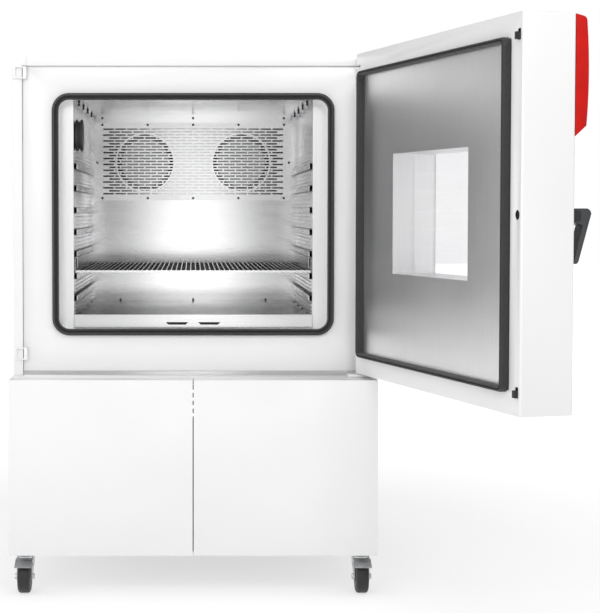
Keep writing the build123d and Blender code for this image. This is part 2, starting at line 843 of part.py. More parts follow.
inlet_x = 430.0
inlet_z = base_bottom_z + 90.0
inlet_width = 70.0
inlet_height = 60.0
grille_slot_width = 220.0
grille_slot_height = 12.0
grille_slot_pitch_x = 300.0
grille_slot_pitch_z = 30.0
grille_rows = 9
with BuildPart() as rear_grille:
    with BuildSketch(facing(back_y - sheet)):
        box_face(-base_inner_half, base_inner_half, base_bottom_z, base_top_z - sheet - seat)
        with Locations((0, base_bottom_z + base_height / 2 + 30.0)):
            with GridLocations(grille_slot_pitch_x, grille_slot_pitch_z, 3, grille_rows):
                Rectangle(grille_slot_width, grille_slot_height, mode=Mode.SUBTRACT)
        with Locations((inlet_x, inlet_z)):
            Rectangle(inlet_width, inlet_height, mode=Mode.SUBTRACT)
    extrude(amount=-sheet)
rear_grille.part.label = "base_rear_grille"
export_step(rear_grille.part, "parts/base_rear_grille.step")

# Base doors: folded trays with a rounded hinge corner that turns about a pin near the outer edge
base_door_gap = 3.0
base_door_half = base_door_gap / 2
lug_notch_height = sheet + seat + chassis_sheet + 0.5


def base_door(side):
    """Door tray open at the back, with holes for the hinge pins in its top and bottom flanges."""
    low_u = min(side * base_door_half, side * half_width)
    high_u = max(side * base_door_half, side * half_width)
    with BuildPart() as tray:
        with BuildSketch(level(base_bottom_z)):
            box_face(low_u, high_u, base_front_y, base_front_y + base_door_depth)
        extrude(amount=base_height)
        hinge_corner = tray.edges().filter_by(Axis.Z).sort_by(Axis.Y)[-2:].sort_by(Axis.X)
        fillet(hinge_corner[0 if side < 0 else -1], door_pin_inset)
        with BuildSketch(facing(base_front_y + base_door_depth)):
            box_face(
                low_u + sheet,
                high_u - sheet,
                base_bottom_z + sheet,
                base_bottom_z + base_height - sheet,
            )
        extrude(amount=base_door_depth - sheet, mode=Mode.SUBTRACT)
        with BuildSketch(level(base_bottom_z)):
            with Locations((side * pin_x, pin_y)):
                Circle(door_pin_radius + pin_clearance)
        extrude(amount=base_height, mode=Mode.SUBTRACT)
        with BuildSketch(across(side * (half_width - sheet))):
            for low_z, high_z in (
                (base_bottom_z + sheet, base_bottom_z + lug_notch_height),
                (base_top_z - lug_notch_height, base_top_z - sheet),
            ):
                box_face(pin_y - door_pin_inset, pin_y + door_pin_inset + 1.0, low_z, high_z)
        extrude(amount=side * (sheet + 1.0), mode=Mode.SUBTRACT)
    return tray.part


left_base_door = base_door(-1)
left_base_door.label = "left_base_door"
export_step(left_base_door, "parts/left_base_door.step")

right_base_door = base_door(1)
right_base_door.label = "right_base_door"
export_step(right_base_door, "parts/right_base_door.step")

# Refrigeration: two hermetic compressors, condenser with fan, control box, mains inlet
compressor_radius = 95.0
compressor_height = 235.0
compressor_spacing = 260.0
compressor_y = 150.0
compressor_foot = 200.0
compressor_foot_thickness = 4.0
plinth_z = base_bottom_z + chassis_sheet + seat
with BuildPart() as compressors:
    for centre_x in (-compressor_spacing / 2, compressor_spacing / 2):
        with BuildSketch(Plane(origin=(centre_x, compressor_y, plinth_z), x_dir=(1, 0, 0), z_dir=(0, -1, 0))):
            outline(
                (0, 0),
                (compressor_radius * 0.8, 0),
                (compressor_radius, 25.0),
                (compressor_radius, compressor_height - 60.0),
                (compressor_radius * 0.82, compressor_height - 22.0),
                (compressor_radius * 0.4, compressor_height),
                (0, compressor_height),
            )
        revolve(axis=Axis((centre_x, compressor_y, plinth_z), (0, 0, 1)))
        with BuildSketch(level(plinth_z)):
            with Locations((centre_x, compressor_y)):
                Rectangle(compressor_foot, compressor_foot)
        extrude(amount=compressor_foot_thickness)
compressors.part.label = "compressors"
export_step(compressors.part, "parts/compressors.step")

condenser_width = 420.0
condenser_height = 360.0
condenser_depth = 90.0
condenser_x = -200.0
condenser_y = -330.0
shroud_depth = 70.0
condenser_fan_radius = 150.0
condenser_fan_gap = 6.0
condenser_fan_z = plinth_z + condenser_height / 2
condenser_motor_radius = 45.0
condenser_motor_length = 70.0
condenser_fins = 12
with BuildPart() as condenser:
    with BuildSketch(level(plinth_z)):
        with Locations((condenser_x, condenser_y)):
            with GridLocations(condenser_width / (condenser_fins - 1), 1, condenser_fins, 1):
                Rectangle(coil_fin, condenser_depth)
    extrude(amount=condenser_height)
    with BuildSketch(facing(condenser_y - condenser_depth / 2)):
        with Locations((condenser_x, condenser_fan_z)):
            Rectangle(condenser_width + 2 * sheet, condenser_height)
            Rectangle(condenser_width - 2 * sheet, condenser_height - 2 * sheet, mode=Mode.SUBTRACT)
    extrude(amount=-(condenser_depth + shroud_depth))
    with BuildSketch(facing(condenser_y + condenser_depth / 2 + shroud_depth)):
        with Locations((condenser_x, condenser_fan_z)):
            Rectangle(condenser_width, condenser_height)
            Circle(condenser_fan_radius + condenser_fan_gap, mode=Mode.SUBTRACT)
            Rectangle(condenser_width, 16.0)
            Circle(condenser_motor_radius)
            Circle(shaft_radius + pin_clearance, mode=Mode.SUBTRACT)
    extrude(amount=-sheet)
    with BuildSketch(facing(condenser_y + condenser_depth / 2 + shroud_depth)):
        with Locations((condenser_x, condenser_fan_z)):
            Circle(condenser_motor_radius)
            Circle(shaft_radius + pin_clearance, mode=Mode.SUBTRACT)
    extrude(amount=-condenser_motor_length)
condenser.part.label = "condenser"
export_step(condenser.part, "parts/condenser.step")

condenser_blades = 5
condenser_blade_root = 30.0
condenser_fan_y = condenser_y + condenser_depth / 2 + shroud_depth - 2.0
with BuildPart() as condenser_fan:
    with BuildSketch(facing(condenser_fan_y)):
        with Locations((condenser_x, condenser_fan_z)):
            Circle(condenser_blade_root)
    extrude(amount=36.0)
    with BuildSketch(facing(condenser_fan_y - 16.0)):
        with Locations((condenser_x, condenser_fan_z)):
            with PolarLocations((condenser_blade_root + condenser_fan_radius) / 2 - 4.0, condenser_blades):
                Rectangle(condenser_fan_radius - condenser_blade_root, 84.0)
    extrude(amount=3.0)
    with BuildSketch(facing(condenser_fan_y)):
        with Locations((condenser_x, condenser_fan_z)):
            Circle(shaft_radius)
    extrude(amount=-(condenser_motor_length))
condenser_fan.part.label = "condenser_fan"
export_step(condenser_fan.part, "parts/condenser_fan.step")

control_box_width = 300.0
control_box_depth = 120.0
control_box_height = 380.0
control_box_x = 300.0
control_box_y = -420.0
with BuildPart() as control_box:
    with BuildSketch(level(plinth_z)):
        with Locations((control_box_x, control_box_y)):
            Rectangle(control_box_width, control_box_depth)
    extrude(amount=control_box_height)
    chamfer(control_box.edges().filter_by(Axis.X).group_by(Axis.Z)[-1].sort_by(Axis.Y)[0], 12.0)
    with BuildSketch(facing(control_box_y + control_box_depth / 2)):
        box_face(
            control_box_x - control_box_width / 2 + sheet,
            control_box_x + control_box_width / 2 - sheet,
            plinth_z + sheet,
            plinth_z + control_box_height - 14.0,
        )
    extrude(amount=control_box_depth - sheet, mode=Mode.SUBTRACT)
control_box.part.label = "control_box"
export_step(control_box.part, "parts/control_box.step")

inlet_flange = 6.0
inlet_depth = 40.0
inlet_recess_width = 30.0
with BuildPart() as mains_inlet:
    with BuildSketch(facing(back_y + seat)):
        with Locations((inlet_x, inlet_z)):
            Rectangle(inlet_width + 2 * inlet_flange, inlet_height + 2 * inlet_flange)
    extrude(amount=-sheet)
    with BuildSketch(facing(back_y + seat)):
        with Locations((inlet_x, inlet_z)):
            Rectangle(inlet_width - 2 * seat, inlet_height - 2 * seat)
    extrude(amount=inlet_depth)
    with BuildSketch(facing(back_y + seat + sheet)):
        with Locations((inlet_x, inlet_z)):
            RectangleRounded(inlet_recess_width, inlet_recess_width * 0.7, 4.0)
    extrude(amount=inlet_depth * 0.6, mode=Mode.SUBTRACT)
mains_inlet.part.label = "mains_inlet"
export_step(mains_inlet.part, "parts/mains_inlet.step")

# Castors: plate and swivel head on the base, fork, wheel and, in front, a brake pedal
wheel_radius = 50.0
wheel_width = 38.0
wheel_shoulder = 7.0
wheel_bore = 6.0
castor_x = 516.0
castor_front_y = base_front_y + 99.0
castor_back_y = back_y - 99.0
castor_trail = 32.0
castor_plate_width = 84.0
castor_plate_thickness = 4.0
head_outer = 31.0
head_height = 12.0
kingpin_radius = 8.0
fork_gap = 2.0
fork_leg = 3.0
fork_crown = 3.0
fork_back = 33.0
axle_overhang = 6.0
castor_spots = {
    "front_left": (-castor_x, castor_front_y),
    "front_right": (castor_x, castor_front_y),
    "rear_left": (-castor_x, castor_back_y),
    "rear_right": (castor_x, castor_back_y),
}
plate_z = base_bottom_z - seat - castor_plate_thickness
head_z = plate_z - head_height
crown_z = head_z - seat - fork_crown
leg_inner = wheel_width / 2 + fork_gap
leg_outer = leg_inner + fork_leg
with BuildPart() as castor_plates:
    for spot_x, spot_y in castor_spots.values():
        with BuildSketch(level(plate_z)):
            with Locations((spot_x, spot_y)):
                Rectangle(castor_plate_width, castor_plate_width)
        extrude(amount=castor_plate_thickness)
        with BuildSketch(level(plate_z)):
            with Locations((spot_x, spot_y)):
                Circle(head_outer)
        extrude(amount=-head_height)
        with BuildSketch(level(head_z)):
            with Locations((spot_x, spot_y)):
                Circle(kingpin_radius)
        extrude(amount=-(fork_crown + seat + 2.0))
castor_plates.part.label = "castor_plates"
export_step(castor_plates.part, "parts/castor_plates.step")


pedal_reach = 60.0
pedal_drop = 16.0
pedal_sheet = 3.0
pedal_half = 26.0
pedal_pin_radius = 3.0
pedal_ear = 7.0
pedal_pin_back = 8.0
pedal_pin_z = wheel_radius + 40.0
pedal_top_z = wheel_radius + 56.5


def castor_fork(spot_x, spot_y, with_pedal):
    """Fork: crown turning on the kingpin, two legs sweeping forward, the axle bolt and pedal pins."""
    axle_y = spot_y - castor_trail
    with BuildPart() as fork:
        with BuildSketch(level(crown_z)):
            with Locations((spot_x, spot_y)):
                Circle(head_outer)
                with Locations((0, (fork_back - 0.7 * head_outer) / 2)):
                    Rectangle(2 * leg_outer, fork_back + 0.7 * head_outer)
                Circle(kingpin_radius + pin_clearance, mode=Mode.SUBTRACT)
        extrude(amount=fork_crown)
        for side in (-1, 1):
            with BuildSketch(across(spot_x + side * leg_inner)):
                outline(
                    (spot_y + fork_back, wheel_radius + 32.0),
                    (spot_y + fork_back, crown_z + fork_crown),
                    (spot_y - 0.7 * head_outer, crown_z + fork_crown),
                    (axle_y - 13.0, wheel_radius + 4.0),
                    (axle_y - 8.0, wheel_radius - 12.0),
                    (axle_y + 8.0, wheel_radius - 12.0),
                    (axle_y + 18.0, wheel_radius + 6.0),
                )
            extrude(amount=side * fork_leg)
        with BuildSketch(across(spot_x - leg_outer - axle_overhang)):
            with Locations((axle_y, wheel_radius)):
                Circle(wheel_bore - pin_clearance)
        extrude(amount=2 * (leg_outer + axle_overhang))
        for side in (-1, 1):
            with BuildSketch(across(spot_x + side * leg_outer)):
                with Locations((axle_y, wheel_radius)):
                    RegularPolygon(9.0, 6)
            extrude(amount=side * axle_overhang)
            if with_pedal:
                with BuildSketch(across(spot_x + side * leg_outer)):
                    with Locations((axle_y + pedal_pin_back, pedal_pin_z)):
                        Circle(pedal_pin_radius)
                extrude(amount=side * (pedal_half - leg_outer))
    return fork.part


def castor_wheel(spot_x, spot_y):
    """Wheel: rounded tread on a hub that turns on the axle bolt."""
    axle_y = spot_y - castor_trail
    half = wheel_width / 2
    with BuildPart() as wheel:
        with BuildSketch(Plane(origin=(spot_x, axle_y, wheel_radius), x_dir=(1, 0, 0), z_dir=(0, -1, 0))):
            outline(
                (-half, wheel_bore),
                (half, wheel_bore),
                (half, wheel_radius - wheel_shoulder),
                (half - 0.35 * wheel_shoulder, wheel_radius - 0.35 * wheel_shoulder),
                (half - wheel_shoulder, wheel_radius),
                (-half + wheel_shoulder, wheel_radius),
                (-half + 0.35 * wheel_shoulder, wheel_radius - 0.35 * wheel_shoulder),
                (-half, wheel_radius - wheel_shoulder),
            )
        revolve(axis=Axis((spot_x, axle_y, wheel_radius), (1, 0, 0)))
    return wheel.part


def brake_pedal(spot_x, spot_y):
    """Brake pedal: a bent plate over the front of the wheel, with two ears on the fork's pins."""
    axle_y = spot_y - castor_trail
    pin_here = axle_y + pedal_pin_back
    with BuildPart() as pedal:
        with BuildSketch(across(spot_x - pedal_half)):
            outline(
                (axle_y + 4.0, pedal_top_z - pedal_sheet),
                (axle_y - 22.0, pedal_top_z - pedal_sheet),
                (axle_y - pedal_reach + 2.5, pedal_top_z - pedal_drop - pedal_sheet),
                (axle_y - pedal_reach, pedal_top_z - pedal_drop - 1.5),
                (axle_y - 24.0, pedal_top_z),
                (axle_y + 4.0, pedal_top_z),
            )
        extrude(amount=2 * pedal_half)
        for side in (-1, 1):
            with BuildSketch(across(spot_x + side * pedal_half)):
                with Locations((pin_here, pedal_pin_z)):
                    Circle(pedal_ear)
                outline(
                    (pin_here, pedal_pin_z - pedal_ear),
                    (pin_here + pedal_ear, pedal_pin_z),
                    (axle_y + 4.0, pedal_top_z),
                    (axle_y - 24.0, pedal_top_z),
                    (axle_y - 24.0, pedal_top_z - 6.0),
                )
            extrude(amount=-side * (pedal_half - leg_outer - seat))
        with BuildSketch(across(spot_x - pedal_half)):
            with Locations((pin_here, pedal_pin_z)):
                Circle(pedal_pin_radius + pin_clearance)
        extrude(amount=2 * pedal_half, mode=Mode.SUBTRACT)
    return pedal.part


for spot, (spot_x, spot_y) in castor_spots.items():
    fork = castor_fork(spot_x, spot_y, spot.startswith("front"))
    fork.label = f"{spot}_castor_fork"
    export_step(fork, f"parts/{spot}_castor_fork.step")
    wheel = castor_wheel(spot_x, spot_y)
    wheel.label = f"{spot}_castor_wheel"
    export_step(wheel, f"parts/{spot}_castor_wheel.step")
    if spot.startswith("front"):
        pedal = brake_pedal(spot_x, spot_y)
        pedal.label = f"{spot}_brake_pedal"
        export_step(pedal, f"parts/{spot}_brake_pedal.step")

# Door frame of reference: s runs along the door from its hinge edge, n from its inner face outwards
door_turn = radians(door_rest_angle - 90.0)
along = Vector(sin(door_turn), -cos(door_turn), 0)
outward = Vector(cos(door_turn), sin(door_turn), 0)
pivot = Vector(pivot_from_centre, front_y - pivot_ahead, 0)
door_corner = pivot - along * hinge_edge - outward * (pivot_ahead - door_gap)
door_low_z = base_top_z + door_lift
door_high_z = door_low_z + door_height


def door_face(n):
    """Plane parallel to the door at n: sketch in (s, z), negative extrusion goes outwards."""
    return Plane(origin=door_corner + outward * n, x_dir=along, z_dir=outward * -1)


def door_plan(z):
    """Flat plane at height z: sketch in (s, n)."""
    return Plane(origin=door_corner + Vector(0, 0, z), x_dir=along, z_dir=(0, 0, 1))


def door_section(s):
    """Plane across the door at s: sketch in (n, z), positive extrusion goes to the free edge."""
    return Plane(origin=door_corner + along * s, x_dir=outward, z_dir=along)


# Hinges: brackets on the cabinet with the pins that the door turns on
hinge_pin_radius = 8.0
hinge_arm_half = 12.0
bracket_sheet = 6.0
bracket_lift = 0.3
top_bracket_drop = 41.0
notch_height = 14.0
lower_bracket_z = base_top_z + bracket_lift
upper_bracket_z = housing_top_z - top_bracket_drop
pin_engagement = 26.0
with BuildPart() as hinge_brackets:
    with BuildSketch(level(lower_bracket_z)):
        outline(
            (pivot.X - 49.0, front_y - seat),
            (pivot.X - 47.0, front_y - 58.0),
            (pivot.X - 45.0, front_y - 60.0),
            (half_width - 5.0, front_y - 60.0),
            (half_width - 5.0, front_y - seat),
        )
    extrude(amount=bracket_sheet)
    with BuildSketch(level(lower_bracket_z + bracket_sheet)):
        with Locations((pivot.X, pivot.Y)):
            Circle(hinge_pin_radius)
    extrude(amount=pin_engagement)
    with BuildSketch(level(upper_bracket_z)):
        with Locations((pivot.X, pivot.Y)):
            Circle(hinge_arm_half)
        outline(
            (pivot.X - hinge_arm_half, pivot.Y),
            (pivot.X - hinge_arm_half, front_y - 6.0),
            (pivot.X - 25.0, front_y + 2.0),
            (pivot.X - 25.0, frame_y - seat),
            (frame_half - 4.0, frame_y - seat),
            (frame_half - 4.0, front_y - 2.0),
            (pivot.X + hinge_arm_half, front_y - 8.0),
            (pivot.X + hinge_arm_half, pivot.Y),
        )
    extrude(amount=bracket_sheet)
    with BuildSketch(facing(frame_y - seat)):
        box_face(pivot.X - 25.0, frame_half - 4.0, upper_bracket_z - 44.0, upper_bracket_z + bracket_sheet)
    extrude(amount=4.0)
    with BuildSketch(level(upper_bracket_z)):
        with Locations((pivot.X, pivot.Y)):
            Circle(hinge_pin_radius)
    extrude(amount=-pin_engagement)
hinge_brackets.part.label = "hinge_brackets"
export_step(hinge_brackets.part, "parts/hinge_brackets.step")

# Door shell: outer tray with inner border flange, window opening, hinge notch and pin holes
notch_low_z = upper_bracket_z - 4.0
notch_along = 33.0
notch_outward = 40.0
block_wall = 3.0
hinge_block_height = 30.0
window_along = 293.0
window_width = 504.0
window_low_z = throat_centre_z - 171.0
window_height = 348.0
window_centre = (window_along + window_width / 2, window_low_z + window_height / 2)
door_corner_radius = 5.0
bolt_along = 1080.0
bolt_reach = 9.0
bolt_centres_z = [centre_z - bolt_travel / 2 for centre_z in striker_centres_z]
release_along = 1076.0
release_radius = 12.0
release_z = throat_centre_z + 1.0


def door_outline():
    """The door's outer rectangle in (s, z)."""
    box_face(0, door_width, door_low_z, door_high_z)


def bolt_windows(margin):
    """Openings for the two lock bolts and their travel."""
    for centre_z in bolt_centres_z:
        box_face(
            bolt_along - bolt_width / 2 - margin,
            bolt_along + bolt_width / 2 + margin,
            centre_z - bolt_height / 2 - margin,
            centre_z + bolt_height / 2 + bolt_travel + margin,
        )


with BuildPart() as door_shell:
    with BuildSketch(door_plan(door_low_z)):
        box_face(0, door_width, 0, door_thickness)
    extrude(amount=door_height)
    fillet(door_shell.edges().filter_by(Axis.Z), door_corner_radius)
    with BuildSketch(door_plan(door_low_z + sheet)):
        box_face(sheet, door_width - sheet, sheet, door_thickness - sheet)
    extrude(amount=door_height - 2 * sheet, mode=Mode.SUBTRACT)
    with BuildSketch(door_face(0)):
        box_face(
            door_border,
            door_width - door_border,
            door_low_z + door_border,
            door_high_z - door_border,
        )
        bolt_windows(1.0)
        with Locations((release_along, release_z)):
            Circle(release_radius)
    extrude(amount=-sheet, mode=Mode.SUBTRACT)
    with BuildSketch(door_face(door_thickness)):
        with Locations(window_centre):
            Rectangle(window_width + 2 * sheet + 2 * seat, window_height + 2 * sheet + 2 * seat)
    extrude(amount=sheet, mode=Mode.SUBTRACT)
    with BuildSketch(door_plan(door_low_z + sheet)):
        box_face(sheet, notch_along + block_wall, sheet, notch_outward + block_wall)
    extrude(amount=hinge_block_height - sheet)
    with BuildSketch(door_plan(notch_low_z - hinge_block_height)):
        box_face(sheet, notch_along + block_wall, sheet, notch_outward + block_wall)
    extrude(amount=hinge_block_height + notch_height + block_wall)
    with BuildSketch(door_plan(notch_low_z)):
        box_face(-1.0, notch_along, -1.0, notch_outward)
    extrude(amount=notch_height, mode=Mode.SUBTRACT)
    for bore_z in (door_low_z, notch_low_z):
        depth = pin_engagement + 1.0 if bore_z == door_low_z else -pin_engagement - 1.0
        with BuildSketch(level(bore_z)):
            with Locations((pivot.X, pivot.Y)):
                Circle(hinge_pin_radius + pin_clearance)
        extrude(amount=depth, mode=Mode.SUBTRACT)
door_shell.part.label = "door_shell"
export_step(door_shell.part, "parts/door_shell.step")

# Inner door panel: stainless sheet folded through the window opening
panel_margin = 4.0
panel_proud = 1.0
with BuildPart() as door_panel:
    with BuildSketch(door_face(sheet + panel_proud)):
        box_face(
            door_border + seat,
            door_width - door_border - seat,
            door_low_z + door_border + seat,
            door_high_z - door_border - seat,
        )
        with Locations(window_centre):
            Rectangle(window_width, window_height, mode=Mode.SUBTRACT)
    extrude(amount=sheet)
    with BuildSketch(door_face(sheet + panel_proud)):
        with Locations(window_centre):
            Rectangle(window_width + 2 * sheet, window_height + 2 * sheet)
            Rectangle(window_width, window_height, mode=Mode.SUBTRACT)
    extrude(amount=-(door_thickness - sheet - panel_proud))
door_panel.part.label = "door_inner_panel"
export_step(door_panel.part, "parts/door_inner_panel.step")

# Window panes: heated inner pane, middle pane and outer pane
pane_thickness = 6.0
pane_clearance = 0.3
pane_depths = (6.0, 66.0, door_thickness - 8.0)
with BuildPart() as panes:
    for pane_depth in pane_depths:
        with BuildSketch(door_face(pane_depth)):
            with Locations(window_centre):
                Rectangle(window_width - 2 * pane_clearance, window_height - 2 * pane_clearance)
        extrude(amount=-pane_thickness)
panes.part.label = "window_panes"
export_step(panes.part, "parts/window_panes.step")

# Door gasket: a closed rubber ring on the inner face
door_gasket_margin = 50.0
door_gasket_width = 15.0
door_gasket_height = door_gap + flange_return - 2 * seat
door_gasket_radius = 14.0
door_gasket_centre = (
    door_gasket_margin + (door_width - 2 * door_gasket_margin - 11.0) / 2,
    throat_centre_z,
)
door_gasket_outer_width = door_width - 2 * door_gasket_margin - 11.0
door_gasket_outer_height = 872.0
with BuildPart() as door_gasket:
    with BuildSketch(door_face(-seat)):
        with Locations(door_gasket_centre):
            RectangleRounded(door_gasket_outer_width, door_gasket_outer_height, door_gasket_radius)
            RectangleRounded(
                door_gasket_outer_width - 2 * door_gasket_width,
                door_gasket_outer_height - 2 * door_gasket_width,
                door_gasket_radius - 6.0,
                mode=Mode.SUBTRACT,
            )
    extrude(amount=door_gasket_height - seat)
door_gasket.part.label = "door_gasket"
export_step(door_gasket.part, "parts/door_gasket.step")

# Lock bar inside the door: one rod with two bolts that leave through the inner face
rod_width = 8.0
rod_depth = 14.0
pocket_margin = 3.0
with BuildPart() as lock_bar:
    with BuildSketch(door_face(rod_depth + rod_width)):
        box_face(
            bolt_along - rod_width / 2,
            bolt_along + rod_width / 2,
            bolt_centres_z[0],
            bolt_centres_z[1],
        )
    extrude(amount=rod_width)
    with BuildSketch(door_face(-bolt_reach)):
        for centre_z in bolt_centres_z:
            box_face(
                bolt_along - bolt_width / 2,
                bolt_along + bolt_width / 2,
                centre_z - bolt_height / 2,
                centre_z + bolt_height / 2,
            )
    extrude(amount=-(bolt_reach + rod_depth + rod_width))
lock_bar.part.label = "lock_bar"
export_step(lock_bar.part, "parts/lock_bar.step")

# Foam core of the door, clear of the window, the lock bar and the hinge pins
with BuildPart() as door_core:
    with BuildSketch(door_plan(door_low_z + sheet + seat)):
        box_face(
            sheet + seat + door_corner_radius,
            door_width - sheet - seat - door_corner_radius,
            2 * sheet + panel_proud + seat,
            door_thickness - sheet - seat,
        )
    extrude(amount=door_height - 2 * (sheet + seat))
    with BuildSketch(door_face(0)):
        with Locations(window_centre):
            Rectangle(window_width + 2 * sheet + 2 * seat, window_height + 2 * sheet + 2 * seat)
        bolt_windows(pocket_margin)
        box_face(
            bolt_along - rod_width / 2 - pocket_margin,
            bolt_along + rod_width / 2 + pocket_margin,
            striker_centres_z[0],
            striker_centres_z[1],
        )
    extrude(amount=-door_thickness, mode=Mode.SUBTRACT)
    with BuildSketch(door_plan(door_low_z)):
        box_face(0, notch_along + block_wall + seat, 0, notch_outward + block_wall + seat)
    extrude(amount=hinge_block_height + seat, mode=Mode.SUBTRACT)
    with BuildSketch(door_plan(notch_low_z - hinge_block_height - seat)):
        box_face(0, notch_along + block_wall + seat, 0, notch_outward + block_wall + seat)
    extrude(amount=hinge_block_height + notch_height + block_wall + 2 * seat, mode=Mode.SUBTRACT)
door_core.part.label = "door_insulation"
export_step(door_core.part, "parts/door_insulation.step")

# Controller housing: the curved red fascia across the top of the door's outer face
fascia_height = 297.0
fascia_corner = 9.0
fascia_reach = 30.0
fascia_bulge = 35.0
fascia_slant = 26.0
fascia_wall = 3.0
fascia_low_z = door_high_z - 2.0 - fascia_height
fascia_n = door_thickness + seat


def fascia_profile(inset):
    """The fascia's section in (n, z), smaller by inset all round except at the door."""
    with BuildLine() as section:
        low = Line(
            (fascia_n, fascia_low_z + inset),
            (fascia_n + fascia_reach - inset, fascia_low_z + fascia_slant + inset),
        )
        bulge = ThreePointArc(
            low @ 1,
            (fascia_n + fascia_bulge - inset, fascia_low_z + fascia_height * 0.62),
            (fascia_n + fascia_reach - inset, fascia_low_z + fascia_height - 7.0 - fascia_corner - inset),
        )
        shoulder = TangentArc(
            bulge @ 1,
            (fascia_n + fascia_reach - fascia_corner - inset, fascia_low_z + fascia_height - 5.0 - inset),
            tangent=bulge % 1,
        )
        Polyline(
            shoulder @ 1,
            (fascia_n, fascia_low_z + fascia_height - inset),
            low @ 0,
        )
    make_face(section.edges())


display_along = 700.0
display_width = 180.0
display_height = 120.0
display_z = fascia_low_z + fascia_height * 0.55
display_thickness = 3.0
display_body = 24.0
with BuildPart() as fascia:
    with BuildSketch(door_section(0)):
        fascia_profile(0)
    extrude(amount=door_width)
    with BuildSketch(door_section(fascia_wall)):
        fascia_profile(fascia_wall)
    extrude(amount=door_width - 2 * fascia_wall, mode=Mode.SUBTRACT)
    with BuildSketch(door_face(fascia_n)):
        with Locations((display_along, display_z)):
            Rectangle(display_width - 6.0 + 2 * seat, display_height - 6.0 + 2 * seat)
    extrude(amount=-(fascia_bulge + 2.0), mode=Mode.SUBTRACT)
fascia.part.label = "controller_housing"
export_step(fascia.part, "parts/controller_housing.step")

with BuildPart() as display:
    with BuildSketch(door_face(fascia_n + fascia_bulge + seat)):
        with Locations((display_along, display_z)):
            RectangleRounded(display_width, display_height, 8.0)
    extrude(amount=-display_thickness)
    with BuildSketch(door_face(fascia_n + fascia_bulge + seat)):
        with Locations((display_along, display_z)):
            Rectangle(display_width - 6.0, display_height - 6.0)
    extrude(amount=display_body)
display.part.label = "display"
export_step(display.part, "parts/display.step")

# Door handle: base plate with two cheeks and a pin, and the lever that turns on it
handle_along = 1050.0
handle_width = 38.0
handle_pivot_out = 23.0
handle_pivot_z = throat_centre_z - 1.0
handle_hub = 18.0
handle_pin_radius = 5.0
handle_cheek = 4.0
handle_plate = 4.0
handle_tip_z = handle_pivot_z - 119.0
handle_n = door_thickness + seat
pivot_n = handle_n + handle_pivot_out
with BuildPart() as handle_base:
    with BuildSketch(door_face(handle_n)):
        with Locations((handle_along, handle_pivot_z)):
            Rectangle(handle_width + 2 * (handle_cheek + seat), 2 * handle_hub + 10.0)
    extrude(amount=-handle_plate)
    for side in (-1, 1):
        cheek_s = handle_along + side * (handle_width / 2 + seat)
        with BuildSketch(door_section(cheek_s)):
            outline(
                (handle_n, handle_pivot_z - handle_hub),
                (handle_n, handle_pivot_z + handle_hub),
                (pivot_n + 8.0, handle_pivot_z + 10.0),
                (pivot_n + 8.0, handle_pivot_z - 10.0),
            )
        extrude(amount=side * handle_cheek)
    with BuildSketch(door_section(handle_along - handle_width / 2 - seat)):
        with Locations((pivot_n, handle_pivot_z)):
            Circle(handle_pin_radius)
    extrude(amount=handle_width + 2 * seat)
handle_base.part.label = "handle_base"
export_step(handle_base.part, "parts/handle_base.step")

handle_block_out = 62.0
with BuildPart() as handle_lever:
    with BuildSketch(door_section(handle_along - handle_width / 2)):
        with Locations((pivot_n, handle_pivot_z)):
            Circle(handle_hub)
        with BuildLine():
            top = Line(
                (pivot_n, handle_pivot_z + handle_hub),
                (handle_n + handle_block_out - 12.0, handle_pivot_z + handle_hub),
            )
            nose = RadiusArc(top @ 1, (handle_n + handle_block_out, handle_pivot_z + 4.0), 14.0)
            back = Polyline(
                nose @ 1,
                (handle_n + 28.5, handle_tip_z + 7.0),
                (handle_n + 25.0, handle_tip_z + 1.5),
                (handle_n + 21.0, handle_tip_z),
                (handle_n + 16.5, handle_tip_z + 1.0),
                (handle_n + 15.5, handle_tip_z + 5.0),
                (handle_n + 39.0, handle_pivot_z - handle_hub - 6.0),
                (pivot_n, handle_pivot_z - handle_hub),
                top @ 0,
            )
        make_face()
    extrude(amount=handle_width)
    with BuildSketch(door_section(handle_along - handle_width / 2)):
        with Locations((pivot_n, handle_pivot_z)):
            Circle(handle_pin_radius + pin_clearance)
    extrude(amount=handle_width, mode=Mode.SUBTRACT)
handle_lever.part.label = "handle_lever"
export_step(handle_lever.part, "parts/handle_lever.step")
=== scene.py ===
"""Looks for the climate chamber: enamel, stainless lining, seals, castors, lights and camera."""

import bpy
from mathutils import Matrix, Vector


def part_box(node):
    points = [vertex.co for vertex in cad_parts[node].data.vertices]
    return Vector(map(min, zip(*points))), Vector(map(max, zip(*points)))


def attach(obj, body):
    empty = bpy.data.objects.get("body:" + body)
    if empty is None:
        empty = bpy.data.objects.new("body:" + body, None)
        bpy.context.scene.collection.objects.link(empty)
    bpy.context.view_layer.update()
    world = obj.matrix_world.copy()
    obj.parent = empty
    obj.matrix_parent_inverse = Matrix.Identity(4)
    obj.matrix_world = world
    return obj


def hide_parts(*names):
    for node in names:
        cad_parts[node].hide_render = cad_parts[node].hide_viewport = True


bl_info = {
    "name": "Climate Chamber",
    "version": (1, 0, 0),
    "blender": (4, 5, 0),
    "location": "View3D > Sidebar > Chamber",
    "description": "Dresses the climate chamber and sets up its studio",
    "category": "Object",
}

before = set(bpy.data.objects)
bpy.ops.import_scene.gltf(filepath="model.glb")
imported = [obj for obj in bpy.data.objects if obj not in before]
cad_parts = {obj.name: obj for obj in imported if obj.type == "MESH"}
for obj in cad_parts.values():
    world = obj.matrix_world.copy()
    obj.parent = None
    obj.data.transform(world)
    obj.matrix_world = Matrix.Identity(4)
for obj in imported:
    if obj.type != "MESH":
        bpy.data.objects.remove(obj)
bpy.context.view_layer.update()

import math

import bmesh
import bpy
from mathutils import Matrix, Vector

